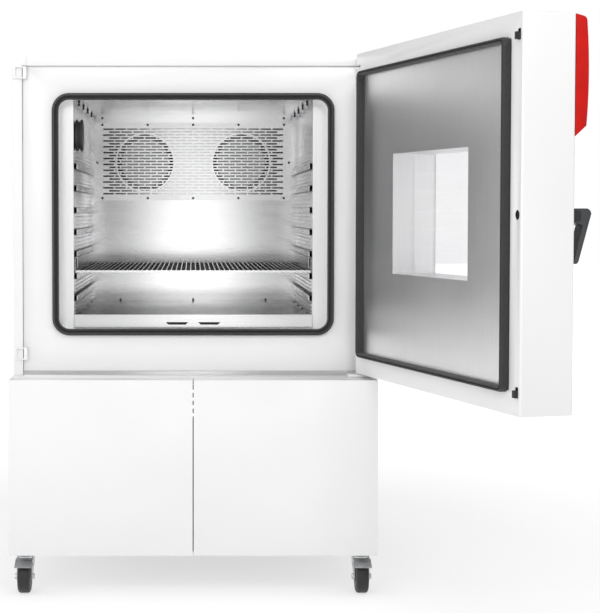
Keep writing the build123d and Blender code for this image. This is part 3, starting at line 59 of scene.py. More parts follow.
# The open door: its angle from closed, its pivot, and its inner corner seen from the pivot
DOOR_OPEN = 105.3
PIVOT_SIDE = 0.525
PIVOT_BEFORE_FRONT = 0.031
CORNER_ALONG = 0.018
CORNER_OUT = 0.0193

HOUSING_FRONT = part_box("left_side_panel")[0].y
DOOR_TURN = math.radians(DOOR_OPEN - 90.0)
DOOR_ALONG = Vector((math.sin(DOOR_TURN), -math.cos(DOOR_TURN), 0))
DOOR_OUT = Vector((math.cos(DOOR_TURN), math.sin(DOOR_TURN), 0))
DOOR_PIVOT = Vector((PIVOT_SIDE, HOUSING_FRONT - PIVOT_BEFORE_FRONT, 0))
DOOR_CORNER = DOOR_PIVOT - DOOR_ALONG * CORNER_ALONG - DOOR_OUT * CORNER_OUT
DOOR_FRAME = Matrix((
    (DOOR_ALONG.x, DOOR_OUT.x, 0, DOOR_CORNER.x),
    (DOOR_ALONG.y, DOOR_OUT.y, 0, DOOR_CORNER.y),
    (0, 0, 1, 0),
    (0, 0, 0, 1),
))

# Seals
GASKET_WIDTH = 0.020
THROAT_CORNER = 0.033
DOOR_SEAL_WIDTH = 0.015
DOOR_SEAL_CORNER = 0.008
CORNER_STEPS = 14
RIB_STEPS = 48

# Screws, studs and rails of the test space
FAN_LEVEL = (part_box("left_fan_impeller")[0].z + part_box("left_fan_impeller")[1].z) / 2
COVER_SCREW_SIDE = 0.0265
COVER_SCREW_EDGE = 0.008
FOOT_SCREW_SIDE = 0.2625
RAIL_HEIGHT = 0.0194
RAIL_LEVELS = 7
# Width of the painted dark reflection band along each rail's folded edges
RAIL_PAINTED_BAND = 0.0022
STUDS_PER_SIDE = 4
STUD_FROM_WALL = 0.009
STUD_FROM_END = 0.08
STUD_RADIUS = 0.0042
STUD_LENGTH = 0.013
TURNED_STEPS = 24

# Rounded edges of the pieces whose edge isn't the sheet edge
STRIKER_EDGE = 0.0008
BRACKET_EDGE = 0.001
STOPPER_EDGE = 0.003
FASCIA_EDGE = 0.002
LEVER_EDGE = 0.0025
PRESSED_EDGE = 0.0009
TREAD_EDGE = 0.0015
BASE_EDGE_SHARE = 0.6

# Mesh clean-up
SAME_SPOT = 2e-6
FLAT_ANGLE = math.radians(0.5)
ROUNDED_ANGLE = math.radians(40)

# Studio: name, place, target, width, height and watts of each lamp
LAMPS = (
    ("Front lamp", (0.0, -6.2, 1.25), (0, 0, 1.2), 0.7, 1.7, 6.5),
    ("Key lamp", (-2.2, -5.6, 3.0), (0, 0, 1.0), 2.5, 2.5, 58),
    ("Fill lamp", (1.4, -5.4, 4.2), (0.3, -0.5, 1.0), 2.2, 1.6, 76),
    ("Top lamp", (-0.4, -1.9, 5.0), (0, -0.6, 0.6), 2.4, 2.4, 20),
    ("Side lamp", (-4.6, -1.8, 1.5), (0.6, -1.0, 1.2), 1.6, 2.0, 30),
)
SURROUNDINGS = 0.62
SURROUNDINGS_MIRRORED = 0.3
FLOOR_REACH = 30
FADE_START = 1.2
FADE_END = 4.0
GLOW_NEAR = 0.5
GLOW_FAR = 1.0
GLOW_STRENGTH = 1.2

# Camera: the photograph's size, focal length and centre in pixels, and the lens's place in metres
PICTURE_WIDTH = 600.0
PICTURE_HEIGHT = 613.0
FOCAL_LENGTH = 1575.856
CENTRE_ACROSS = 193.129
CENTRE_DOWN = 274.639
SENSOR = 36.0
CAMERA_BEFORE_FRONT = 4.8794792
CAMERA_HEIGHT = 1.1668373
CAMERA_DIP = 0.0399


class ChamberColours(bpy.types.PropertyGroup):
    """Colours of the finishes"""
    enamel: bpy.props.FloatVectorProperty(
        name="Enamel", description="White stove enamel of the housing, base and door",
        subtype="COLOR", size=3, default=(0.86, 0.86, 0.86), min=0, max=1)
    steel: bpy.props.FloatVectorProperty(
        name="Stainless steel", description="Brushed lining of the test space and of the door",
        subtype="COLOR", size=3, default=(0.62, 0.62, 0.625), min=0, max=1)
    seal: bpy.props.FloatVectorProperty(
        name="Seals", description="Silicone rubber of both gaskets and of the port stopper",
        subtype="COLOR", size=3, default=(0.021, 0.021, 0.0215), min=0, max=1)
    fascia: bpy.props.FloatVectorProperty(
        name="Controller housing", description="Red housing across the top of the door",
        subtype="COLOR", size=3, default=(0.56, 0.006, 0.002), min=0, max=1)
    handle: bpy.props.FloatVectorProperty(
        name="Handle", description="Dark plastic of the door handle",
        subtype="COLOR", size=3, default=(0.05, 0.052, 0.056), min=0, max=1)


class ChamberSizes(bpy.types.PropertyGroup):
    """Sizes of the small details"""
    sheet_edge: bpy.props.FloatProperty(
        name="Sheet edge", description="Radius of the folded sheet edges",
        unit="LENGTH", default=0.0012, min=0.0002, max=0.004)
    screw_radius: bpy.props.FloatProperty(
        name="Lining screw", description="Head radius of the screws in the lining",
        unit="LENGTH", default=0.0042, min=0.001, max=0.01)


def colour_of(name):
    return tuple(getattr(bpy.context.scene.chamber_colours, name)) + (1.0,)


def size_of(name):
    return getattr(bpy.context.scene.chamber_sizes, name)


class Finish:
    """A node tree under construction, so that each finish reads as a short list of steps."""

    def __init__(self, name):
        self.material = bpy.data.materials.new(name)
        self.material.use_nodes = True
        self.nodes = self.material.node_tree.nodes
        self.links = self.material.node_tree.links
        self.shader = self.nodes["Principled BSDF"]
        self.place = self.nodes.new("ShaderNodeTexCoord").outputs["Object"]

    def set(self, **values):
        for key, value in values.items():
            self.shader.inputs[key.replace("_", " ")].default_value = value
        return self

    def noise(self, scale, stretch=(1, 1, 1), turn=0.0, detail=3.0, roughness=0.5):
        mapping = self.nodes.new("ShaderNodeMapping")
        mapping.inputs["Rotation"].default_value = (0, 0, turn)
        mapping.inputs["Scale"].default_value = stretch
        self.links.new(self.place, mapping.inputs["Vector"])
        texture = self.nodes.new("ShaderNodeTexNoise")
        texture.inputs["Scale"].default_value = scale
        texture.inputs["Detail"].default_value = detail
        texture.inputs["Roughness"].default_value = roughness
        self.links.new(mapping.outputs["Vector"], texture.inputs["Vector"])
        return texture.outputs["Fac"]

    def span(self, value, low, high, source=(0.3, 0.7)):
        ramp = self.nodes.new("ShaderNodeMapRange")
        ramp.inputs["From Min"].default_value = source[0]
        ramp.inputs["From Max"].default_value = source[1]
        ramp.inputs["To Min"].default_value = low
        ramp.inputs["To Max"].default_value = high
        self.links.new(value, ramp.inputs["Value"])
        return ramp.outputs["Result"]

    def between(self, value, low, high):
        """0 at low, 1 at high, with a straight ramp between them."""
        return self.span(value, 0, 1, (low, high))

    def tint(self, value, dark, light):
        mix = self.nodes.new("ShaderNodeMix")
        mix.data_type = "RGBA"
        mix.inputs["A"].default_value = dark
        mix.inputs["B"].default_value = light
        self.links.new(value, mix.inputs["Factor"])
        return mix.outputs["Result"]

    def mottle(self, value, dark, light):
        """Two tones over the middle range of a noise."""
        return self.tint(self.span(value, 0, 1), dark, light)

    def colour(self, output):
        self.links.new(output, self.shader.inputs["Base Color"])
        return self

    def rough(self, output):
        self.links.new(output, self.shader.inputs["Roughness"])
        return self

    def bump(self, output, strength, distance):
        node = self.nodes.new("ShaderNodeBump")
        node.inputs["Strength"].default_value = strength
        node.inputs["Distance"].default_value = distance
        self.links.new(output, node.inputs["Height"])
        previous = self.shader.inputs["Normal"]
        if previous.is_linked:
            self.links.new(previous.links[0].from_socket, node.inputs["Normal"])
        self.links.new(node.outputs["Normal"], previous)
        return self


def shade(colour, factor):
    return tuple(min(1.0, channel * factor) for channel in colour[:3]) + (1.0,)


def stove_enamel(name, colour, roughness=0.32):
    """Sprayed and baked enamel: faint orange peel, slightly uneven gloss."""
    finish = Finish(name)
    cloud = finish.noise(3.0, detail=2.0)
    peel = finish.noise(420.0, detail=2.0)
    finish.set(Coat_Weight=0.25, Coat_Roughness=0.12, IOR=1.5)
    finish.colour(finish.mottle(cloud, shade(colour, 0.985), shade(colour, 1.01)))
    finish.rough(finish.span(finish.noise(60.0), roughness - 0.04, roughness + 0.05))
    finish.bump(peel, 0.06, 0.0004)
    return finish.material


def brushed_steel(
        name, colour, stretch, turn=0.0, roughness=0.2, contrast=0.06, relief=0.1):
    """Brushed stainless sheet: long fine lines in colour, gloss and height, over slow clouds."""
    finish = Finish(name)
    lines = finish.noise(1.0, stretch=stretch, turn=turn, detail=4.0, roughness=0.7)
    fine = finish.noise(3.1, stretch=stretch, turn=turn, detail=2.0)
    cloud = finish.noise(2.2, detail=2.0)
    finish.set(Metallic=1.0)
    finish.colour(finish.mottle(lines, shade(colour, 1 - contrast), shade(colour, 1 + contrast)))
    finish.rough(finish.span(cloud, roughness - 0.04, roughness + 0.05))
    finish.bump(fine, relief, 0.0003)
    finish.bump(lines, 0.7 * relief, 0.0004)
    return finish.material


def calculation(finish, operation, *values):
    """One math node on sockets or plain numbers."""
    node = finish.nodes.new("ShaderNodeMath")
    node.operation = operation
    for socket, value in zip(node.inputs, values):
        if isinstance(value, (int, float)):
            socket.default_value = value
        else:
            finish.links.new(value, socket)
    return node.outputs["Value"]


def axes_of(finish):
    """X, Y and Z of the object coordinates."""
    split = finish.nodes.new("ShaderNodeSeparateXYZ")
    finish.links.new(finish.place, split.inputs["Vector"])
    return split.outputs


def rear_wall_steel(name, colour):
    """Level brushed steel with painted shade in the recess behind the fan cover, darkest at its
    sides.
    """
    finish = Finish(name)
    lines = finish.noise(1.0, stretch=(6, 700, 700), detail=4.0, roughness=0.7)
    place = axes_of(finish)
    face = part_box("chamber_rear_wall")[0].y
    recess = finish.between(place["Y"], face + 0.003, face + 0.005)
    side = finish.between(calculation(finish, "ABSOLUTE", place["X"]), 0.1, 0.33)
    # Painted shade: inside the recess the steel colour is mixed towards near black, by 0.2 in the
    # middle up to 0.95 at the sides
    depth = calculation(finish, "MULTIPLY_ADD", side, 0.75, 0.2)
    painted_recess_shade = calculation(finish, "MULTIPLY", recess, depth)
    finish.set(Metallic=1.0)
    finish.colour(finish.tint(painted_recess_shade, colour, (0.004, 0.004, 0.004, 1)))
    finish.rough(finish.span(lines, 0.12, 0.18))
    finish.bump(lines, 0.04, 0.0003)
    return finish.material


def rail_steel(name, colour):
    """Bright rail faces with a painted dark reflection line along their folded upper and lower
    edges.
    """
    finish = Finish(name)
    low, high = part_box("shelf_rails")
    pitch = (high.z - low.z - RAIL_HEIGHT) / (RAIL_LEVELS - 1)
    place = axes_of(finish)
    above = calculation(finish, "SUBTRACT", place["Z"], low.z)
    climb = calculation(finish, "MODULO", above, pitch)
    # Painted reflection: near-black bands at the foot and the top of every rail stand in for the
    # dark that the folded edges mirror
    lower = finish.between(climb, RAIL_PAINTED_BAND, 0.6 * RAIL_PAINTED_BAND)
    upper = finish.between(climb, RAIL_HEIGHT - RAIL_PAINTED_BAND, RAIL_HEIGHT - 0.6 * RAIL_PAINTED_BAND)
    painted_fold_reflection = calculation(finish, "MAXIMUM", lower, upper)
    finish.set(Metallic=1.0)
    finish.colour(finish.tint(painted_fold_reflection, colour, (0.035, 0.035, 0.036, 1)))
    finish.rough(finish.span(finish.noise(1.0, stretch=(700, 6, 700)), 0.22, 0.32))
    finish.bump(finish.noise(400.0), 0.03, 0.0003)
    return finish.material


def shelf_steel(name, colour):
    """Polished wires above and at the front bar, with painted shade on the cross wires under them.
    """
    finish = Finish(name)
    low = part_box("shelf_rack")[0]
    place = axes_of(finish)
    under = finish.between(place["Z"], low.z + 0.0064, low.z + 0.0060)
    behind = finish.between(place["Y"], low.y + 0.0062, low.y + 0.0068)
    # Painted shade: the cross wires below the top wires and behind the front bar are coloured near
    # black
    painted_wire_shade = calculation(finish, "MULTIPLY", under, behind)
    finish.set(Metallic=1.0)
    finish.colour(finish.tint(painted_wire_shade, colour, (0.03, 0.03, 0.031, 1)))
    finish.rough(finish.span(finish.noise(90.0, detail=3.0), 0.16, 0.3))
    finish.bump(finish.noise(500.0), 0.05, 0.0003)
    return finish.material


def silicone(name, colour, roughness=0.5):
    """Extruded silicone rubber: nearly smooth, a little dusty."""
    finish = Finish(name)
    dust = finish.noise(90.0, detail=4.0)
    finish.set(Specular_IOR_Level=0.45, Sheen_Weight=0.15, Sheen_Roughness=0.5)
    finish.colour(finish.mottle(dust, shade(colour, 0.85), shade(colour, 1.3)))
    finish.rough(finish.span(dust, roughness - 0.08, roughness + 0.1))
    finish.bump(finish.noise(900.0), 0.1, 0.0002)
    return finish.material


def moulded_plastic(name, colour, roughness=0.42, grain=700.0, sheen=0.5):
    """Moulded plastic with a fine spark-eroded grain; sheen is its specular level."""
    finish = Finish(name)
    finish.set(Specular_IOR_Level=sheen)
    specks = finish.noise(grain, detail=1.0)
    finish.colour(finish.mottle(finish.noise(25.0), shade(colour, 0.93), shade(colour, 1.08)))
    finish.rough(finish.span(specks, roughness - 0.05, roughness + 0.08))
    finish.bump(specks, 0.15, 0.0002)
    return finish.material


def zinc_plate(name, colour, roughness=0.34):
    """Zinc-plated pressed steel: cloudy passivated coat with small scratches."""
    finish = Finish(name)
    cloud = finish.noise(40.0, detail=5.0, roughness=0.65)
    scratch = finish.noise(1.0, stretch=(900, 60, 900), detail=3.0)
    finish.set(Metallic=1.0)
    finish.colour(finish.mottle(cloud, shade(colour, 0.82), shade(colour, 1.08)))
    finish.rough(finish.span(cloud, roughness - 0.1, roughness + 0.14))
    finish.bump(scratch, 0.1, 0.0003)
    return finish.material


def dark_iron(name, colour, roughness=0.45):
    """Blackened or painted iron with a slightly rough coat."""
    finish = Finish(name)
    finish.set(Metallic=0.4)
    coat = finish.noise(70.0, detail=4.0)
    finish.colour(finish.mottle(coat, shade(colour, 0.7), shade(colour, 1.5)))
    finish.rough(finish.span(finish.noise(200.0), roughness - 0.08, roughness + 0.12))
    finish.bump(finish.noise(600.0, detail=2.0), 0.2, 0.0003)
    return finish.material


def foam_block(name):
    """Closed-cell insulating foam coloured near black as painted shade, so that the duct seen
    through the fan rings reads dark.
    """
    finish = Finish(name)
    cells = finish.noise(240.0)
    # Painted shade: near-black tones in place of the foam's own colour
    finish.colour(finish.mottle(cells, (0.012, 0.012, 0.013, 1), (0.03, 0.03, 0.031, 1)))
    finish.set(Roughness=0.9)
    finish.bump(finish.noise(500.0, detail=4.0), 0.6, 0.001)
    return finish.material


def window_glass(name):
    """Clear pane with hardly any colour of its own."""
    finish = Finish(name)
    finish.set(Transmission_Weight=1.0, IOR=1.12, Roughness=0.0)
    finish.colour(finish.mottle(finish.noise(4.0), (0.99, 0.99, 1.0, 1), (1.0, 1.0, 1.0, 1)))
    return finish.material


def fin_pack(name, stretch):
    """Aluminium fin edges seen end on."""
    finish = Finish(name)
    fins = finish.noise(1.0, stretch=stretch, detail=2.0)
    finish.set(Metallic=0.9)
    finish.colour(finish.mottle(fins, (0.4, 0.4, 0.4, 1), (0.75, 0.74, 0.72, 1)))
    finish.rough(finish.span(fins, 0.35, 0.6))
    finish.bump(fins, 0.5, 0.001)
    return finish.material


FINISHES = {}


def finish_named(name):
    """The finish of that name, made the first time it is asked for."""
    if name in FINISHES:
        return FINISHES[name]
    enamel = colour_of("enamel")
    steel = colour_of("steel")
    makers = {
        "enamel_white": lambda: stove_enamel("Enamel white", enamel),
        "enamel_grey": lambda: stove_enamel("Enamel grey", shade(enamel, 0.8), 0.4),
        "enamel_red": lambda: moulded_plastic(
            "Moulded red", colour_of("fascia"), 0.5, 300.0, 0.22),
        "steel_upright": lambda: brushed_steel(
            "Stainless brushed upright", steel, (700, 700, 6)),
        "steel_level": lambda: brushed_steel(
            "Stainless brushed level", steel, (6, 700, 700), relief=0.03),
        "steel_deep": lambda: brushed_steel(
            "Stainless brushed in depth", steel, (700, 6, 700), contrast=0.02, relief=0.01),
        "steel_throat": lambda: brushed_steel(
            "Stainless throat", (0.78, 0.78, 0.785, 1), (700, 700, 6),
            roughness=0.42, relief=0.03),
        "steel_fan": lambda: brushed_steel(
            "Fan steel", (0.28, 0.28, 0.285, 1), (40, 40, 40), roughness=0.3, relief=0.02),
        "steel_rail": lambda: rail_steel("Stainless shelf rail", (0.8, 0.8, 0.805, 1)),
        "steel_rear": lambda: rear_wall_steel("Stainless rear wall", steel),
        "steel_shelf": lambda: shelf_steel("Stainless shelf wire", (0.72, 0.72, 0.725, 1)),
        "steel_door": lambda: brushed_steel(
            "Stainless door panel", (0.96, 0.96, 0.965, 1), (500, 500, 5), -DOOR_TURN, 0.4),
        "steel_bright": lambda: brushed_steel(
            "Stainless polished", (0.7, 0.7, 0.7, 1), (200, 200, 200), 0, 0.1, 0.02),
        "zinc_steel": lambda: zinc_plate("Zinc plate", (0.62, 0.63, 0.64, 1)),
        "dark_steel": lambda: dark_iron("Blackened iron", (0.03, 0.03, 0.032, 1)),
        "silicone_black": lambda: silicone("Silicone black", colour_of("seal")),
        "foam": lambda: foam_block("Foam"),
        "glass_clear": lambda: window_glass("Window glass"),
        "plastic_black": lambda: moulded_plastic("Plastic black", (0.02, 0.02, 0.021, 1)),
        "plastic_dark": lambda: moulded_plastic("Plastic dark grey", colour_of("handle")),
        "tread_black": lambda: silicone("Castor tread", (0.02, 0.02, 0.02, 1), 0.55),
        "screen_black": lambda: moulded_plastic(
            "Screen", (0.012, 0.016, 0.022, 1), 0.12, 2000.0),
        "copper_fins": lambda: fin_pack("Fin pack", (900, 3, 3)),
    }
    FINISHES[name] = makers[name]()
    return FINISHES[name]


def paint(node, finish):
    """Gives a carried-over node its finish."""
    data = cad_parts[node].data
    data.materials.clear()
    data.materials.append(finish_named(finish))


def settle(name, mesh, body, finish, replaced=()):
    """Makes a finished piece of a mesh, at the origin, with its finish and body."""
    piece = bpy.data.objects.new(name, mesh)
    bpy.context.scene.collection.objects.link(piece)
    mesh.materials.clear()
    mesh.materials.append(finish_named(finish))
    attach(piece, body)
    if replaced:
        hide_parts(*replaced)
    return piece


def baked(source):
    """The plain mesh of an object with its modifiers applied, and the object is removed."""
    depsgraph = bpy.context.evaluated_depsgraph_get()
    mesh = bpy.data.meshes.new_from_object(source.evaluated_get(depsgraph), depsgraph=depsgraph)
    bpy.data.objects.remove(source)
    return mesh


def merged_copy(node):
    """A copy of a CAD node's mesh with its loose triangles joined into clean faces."""
    work = bmesh.new()
    work.from_mesh(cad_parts[node].data)
    bmesh.ops.remove_doubles(work, verts=work.verts, dist=SAME_SPOT)
    bmesh.ops.dissolve_limit(
        work, angle_limit=FLAT_ANGLE, verts=work.verts, edges=work.edges)
    mesh = bpy.data.meshes.new(node + "_copy")
    work.to_mesh(mesh)
    work.free()
    return mesh


def soften(node, finish, edge, body, segments=2):
    """Stands a copy with rounded sheet edges in for a CAD node."""
    source = bpy.data.objects.new(node + "_work", merged_copy(node))
    bpy.context.scene.collection.objects.link(source)
    rounding = source.modifiers.new("Edges", "BEVEL")
    rounding.width = edge
    rounding.segments = segments
    rounding.limit_method = "ANGLE"
    rounding.angle_limit = ROUNDED_ANGLE
    rounding.harden_normals = True
    for face in source.data.polygons:
        face.use_smooth = True
    mesh = baked(source)
    return settle(node + "_finished", mesh, body, finish, (node,))


def ring_stations(half_width, half_height, radius):
    """Corner centres and outward directions in order round a rounded rectangle."""
    stations = []
    for quarter, (side, rise) in enumerate(((1, 1), (-1, 1), (-1, -1), (1, -1))):
        corner = Vector((side * (half_width - radius), rise * (half_height - radius)))
        for step in range(CORNER_STEPS + 1):
            angle = math.radians(90) * (quarter + step / CORNER_STEPS)
            stations.append((corner, Vector((math.cos(angle), math.sin(angle)))))
    return stations


def ribbed_profile(width, base, ribs):
    """Section of a seal: a flat back, and round ribs (middle, half width, rise) over a base."""
    section = [(0, 0)]
    for step in range(RIB_STEPS + 1):
        across = width * step / RIB_STEPS
        height = base
        for middle, half, rise in ribs:
            reach = 1 - ((across - middle) / half) ** 2
            if reach > 0:
                height = max(height, base + rise * math.sqrt(reach))
        section.append((across, height))
    section.append((width, 0))
    return section


def ring_seal(name, half_width, half_height, radius, section, place):
    """Closed seal ring: the section swept round a rounded rectangle of that inner size."""
    work = bmesh.new()
    loops = []
    for corner, outward in ring_stations(half_width, half_height, radius):
        loop = []
        for across, height in section:
            spot = corner + outward * (radius + across)
            loop.append(work.verts.new(place(spot.x, spot.y, height)))
        loops.append(loop)
    for index, loop in enumerate(loops):
        following = loops[(index + 1) % len(loops)]
        for start in range(len(section)):
            end = (start + 1) % len(section)
            work.faces.new((loop[start], loop[end], following[end], following[start]))
    bmesh.ops.recalc_face_normals(work, faces=work.faces)
    return smooth_mesh(name, work)


def smooth_mesh(name, work):
    """Turns mesh code into a smooth-shaded mesh that keeps its sharp edges."""
    mesh = bpy.data.meshes.new(name)
    work.to_mesh(mesh)
    work.free()
    for face in mesh.polygons:
        face.use_smooth = True
    mesh.set_sharp_from_angle(angle=ROUNDED_ANGLE)
    return mesh


def lathe(name, profile):
    """Mesh turned about Z from (radius, height) points, the first and last on the axis."""
    work = bmesh.new()
    rings = []
    for radius, height in profile:
        count = TURNED_STEPS if radius else 1
        turn = 2 * math.pi / count
        rings.append([
            work.verts.new((
                radius * math.cos(turn * index), radius * math.sin(turn * index), height))
            for index in range(count)])
    for low, high in zip(rings, rings[1:]):
        for index in range(TURNED_STEPS):
            after = (index + 1) % TURNED_STEPS
            corners = (
                low[index % len(low)], low[after % len(low)],
                high[after % len(high)], high[index % len(high)])
            work.faces.new(list(dict.fromkeys(corners)))
    bmesh.ops.recalc_face_normals(work, faces=work.faces)
    return smooth_mesh(name, work)


def button_head(name, radius):
    """Domed screw head with a socket in its crown."""
    height = 0.55 * radius
    socket = 0.42 * radius
    rim = 0.15
    arcs = 6
    dome = [(0, 0), (radius, 0), (radius, rim * height)]
    for step in range(1, arcs):
        angle = math.radians(90) * step / arcs
        out = socket + (radius - socket) * math.cos(angle)
        dome.append((out, height * (rim + 0.85 * math.sin(angle))))
    dome += [(socket, height), (socket * 0.9, 0.45 * height), (0, 0.35 * height)]
    return lathe(name, dome)


def pinned_stud(name, radius, length):
    """Short turned stud with a waist and a round foot."""
    waist = 0.6 * radius
    return lathe(name, [
        (0, 0), (radius, 0), (radius, 0.2 * length),
        (waist, 0.3 * length), (waist, 0.62 * length),
        (0.95 * radius, 0.7 * length), (radius, 0.85 * length),
        (0.7 * radius, length), (0, length)])


def stand_group():
    """Node group that stands a copy of an item on every point, turned to the point's facing."""
    name = "Stand on points"
    if name in bpy.data.node_groups:
        return bpy.data.node_groups[name]
    group = bpy.data.node_groups.new(name, "GeometryNodeTree")
    for label, way, kind in (
            ("Points", "INPUT", "NodeSocketGeometry"), ("Item", "INPUT", "NodeSocketObject"),
            ("Finish", "INPUT", "NodeSocketMaterial"), ("Pieces", "OUTPUT", "NodeSocketGeometry")):
        group.interface.new_socket(name=label, in_out=way, socket_type=kind)
    nodes, links = group.nodes, group.links
    given = nodes.new("NodeGroupInput")
    facing = nodes.new("GeometryNodeInputNamedAttribute")
    facing.data_type = "FLOAT_VECTOR"
    facing.inputs["Name"].default_value = "facing"
    turn = nodes.new("FunctionNodeAlignRotationToVector")
    turn.axis = "Z"
    item = nodes.new("GeometryNodeObjectInfo")
    stand = nodes.new("GeometryNodeInstanceOnPoints")
    solid = nodes.new("GeometryNodeRealizeInstances")
    finish = nodes.new("GeometryNodeSetMaterial")
    result = nodes.new("NodeGroupOutput")
    links.new(facing.outputs["Attribute"], turn.inputs["Vector"])
    links.new(given.outputs["Item"], item.inputs["Object"])
    links.new(given.outputs["Points"], stand.inputs["Points"])
    links.new(item.outputs["Geometry"], stand.inputs["Instance"])
    links.new(turn.outputs["Rotation"], stand.inputs["Rotation"])
    links.new(stand.outputs["Instances"], solid.inputs["Geometry"])
    links.new(solid.outputs["Geometry"], finish.inputs["Geometry"])
    links.new(given.outputs["Finish"], finish.inputs["Material"])
    links.new(finish.outputs["Geometry"], result.inputs["Pieces"])
    return group


def stand_on(name, item_mesh, spots, body, finish):
    """One piece made of copies of a mesh: each spot is a place and the direction it faces."""
    points = bpy.data.meshes.new(name + "_points")
    points.from_pydata([place for place, facing in spots], [], [])
    facings = points.attributes.new("facing", "FLOAT_VECTOR", "POINT")
    for index, (place, facing) in enumerate(spots):
        facings.data[index].vector = facing
    source = bpy.data.objects.new(name + "_work", points)
    item = bpy.data.objects.new(name + "_item", item_mesh)
    for thing in (source, item):
        bpy.context.scene.collection.objects.link(thing)
    group = stand_group()
    names = {
        entry.name: entry.identifier
        for entry in group.interface.items_tree if entry.in_out == "INPUT"}
    copies = source.modifiers.new("Copies", "NODES")
    copies.node_group = group
    copies[names["Item"]] = item
    copies[names["Finish"]] = finish_named(finish)
    mesh = baked(source)
    bpy.data.objects.remove(item)
    return settle(name, mesh, body, finish)


def both_sides(offsets):
    """Each offset to the right and to the left, and a zero once."""
    return sorted({side * offset for offset in offsets for side in (-1, 1)})


def door_box(node):
    """Lowest and highest corners of a door node: along the door, outwards, and up."""
    inverse = DOOR_FRAME.inverted()
    spots = [inverse @ vertex.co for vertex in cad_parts[node].data.vertices]
    low = Vector([min(spot[axis] for spot in spots) for axis in range(3)])
    high = Vector([max(spot[axis] for spot in spots) for axis in range(3)])
    return low, high


class CHAMBER_OT_housing(bpy.types.Operator):
    """Enamelled housing, strikers and hinge brackets with rounded sheet edges"""
    bl_idname = "chamber.housing"
    bl_label = "Housing"

    def execute(self, context):
        edge = size_of("sheet_edge")
        for node in ("left_side_panel", "right_side_panel", "roof_panel", "front_frame"):
            soften(node, "enamel_white", edge, "cabinet")
        soften("door_strikers", "enamel_white", STRIKER_EDGE, "cabinet")
        soften("hinge_brackets", "enamel_white", BRACKET_EDGE, "cabinet")
        paint("rear_panel", "enamel_grey")
        paint("housing_floor", "steel_bright")
        paint("insulation_block", "foam")
        return {"FINISHED"}


class CHAMBER_OT_lining(bpy.types.Operator):
    """Stainless lining, rails, shelf guides and what lies behind the fan cover"""
    bl_idname = "chamber.lining"
    bl_label = "Test space"

    def execute(self, context):
        for node in ("chamber_left_wall", "chamber_right_wall", "shelf_guides"):
            paint(node, "steel_deep")
        paint("shelf_rails", "steel_rail")
        for node in ("chamber_ceiling", "chamber_floor", "fan_cover"):
            paint(node, "steel_level")
        paint("door_throat", "steel_throat")
        paint("chamber_rear_wall", "steel_rear")
        paint("access_port_sleeve", "steel_deep")
        paint("fan_motors", "dark_steel")
        paint("heating_rods", "steel_upright")
        paint("evaporator_coil", "copper_fins")
        paint("left_fan_impeller", "steel_fan")
        paint("right_fan_impeller", "steel_fan")
        paint("shelf_rack", "steel_shelf")
        soften(
            "port_stopper", "silicone_black", STOPPER_EDGE, "port_stopper", 4)
        self.frame_seal()
        self.lining_screws()
        self.floor_and_ceiling_studs()
        return {"FINISHED"}

    def frame_seal(self):
        """The frame gasket with a tall outer rib, a groove and a low inner rib."""
        low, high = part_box("frame_gasket")
        middle = (low + high) / 2
        back = high.y
        depth = high.y - low.y
        section = ribbed_profile(GASKET_WIDTH, 0.4 * depth, (
            (0.2 * GASKET_WIDTH, 0.15 * GASKET_WIDTH, 0.4 * depth),
            (0.64 * GASKET_WIDTH, 0.19 * GASKET_WIDTH, 0.6 * depth)))
        mesh = ring_seal(
            "frame_gasket_mesh",
            (high.x - low.x) / 2 - GASKET_WIDTH, (high.z - low.z) / 2 - GASKET_WIDTH,
            THROAT_CORNER, section,
            lambda across, up, out: (middle.x + across, back - out, middle.z + up))
        settle(
            "frame_gasket_ribbed", mesh, "cabinet", "silicone_black",
            ("frame_gasket",))

    def lining_screws(self):
        """Screws round the fan cover and along the top and the foot of the rear wall."""
        cover_low, cover_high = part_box("fan_cover")
        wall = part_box("chamber_rear_wall")[0]
        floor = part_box("chamber_floor")[1].z
        forward = Vector((0, -1, 0))
        spots = []
        row = cover_high.x - COVER_SCREW_SIDE
        for height in (cover_low.z + COVER_SCREW_EDGE, cover_high.z - COVER_SCREW_EDGE):
            for offset in both_sides((0, row / 2, row)):
                spots.append((Vector((offset, cover_low.y, height)), forward))
        edge = cover_high.x - COVER_SCREW_EDGE
        for side in (-1, 1):
            spots.append((Vector((side * edge, cover_low.y, FAN_LEVEL)), forward))
        for offset in both_sides((0, row)):
            spots.append((Vector((offset, wall.y, cover_high.z + 2 * COVER_SCREW_EDGE)), forward))
        radius = size_of("screw_radius")
        for offset in both_sides((0, FOOT_SCREW_SIDE)):
            spots.append((Vector((offset, wall.y, floor + radius)), forward))
        head = button_head("lining_screw_head", radius)
        stand_on("lining_screws", head, spots, "cabinet", "dark_steel")

    def floor_and_ceiling_studs(self):
        """Rows of small studs along both side walls, on the floor and under the ceiling."""
        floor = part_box("chamber_floor")[1].z
        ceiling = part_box("chamber_ceiling")[0].z
        near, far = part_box("chamber_right_wall")
        across = near.x - STUD_FROM_WALL
        first = near.y + STUD_FROM_END
        last = far.y - STUD_FROM_END
        gaps = STUDS_PER_SIDE - 1
        depths = [first + (last - first) * index / gaps for index in range(STUDS_PER_SIDE)]
        floor_spots = []
        ceiling_spots = []
        for side in (-1, 1):
            for depth in depths:
                floor_spots.append((Vector((side * across, depth, floor)), Vector((0, 0, 1))))
                ceiling_spots.append((Vector((side * across, depth, ceiling)), Vector((0, 0, -1))))
        head = button_head("floor_screw_head", size_of("screw_radius"))
        stand_on("floor_screws", head, floor_spots, "cabinet", "dark_steel")
        stud = pinned_stud("ceiling_stud", STUD_RADIUS, STUD_LENGTH)
        stand_on("ceiling_studs", stud, ceiling_spots, "cabinet", "dark_steel")


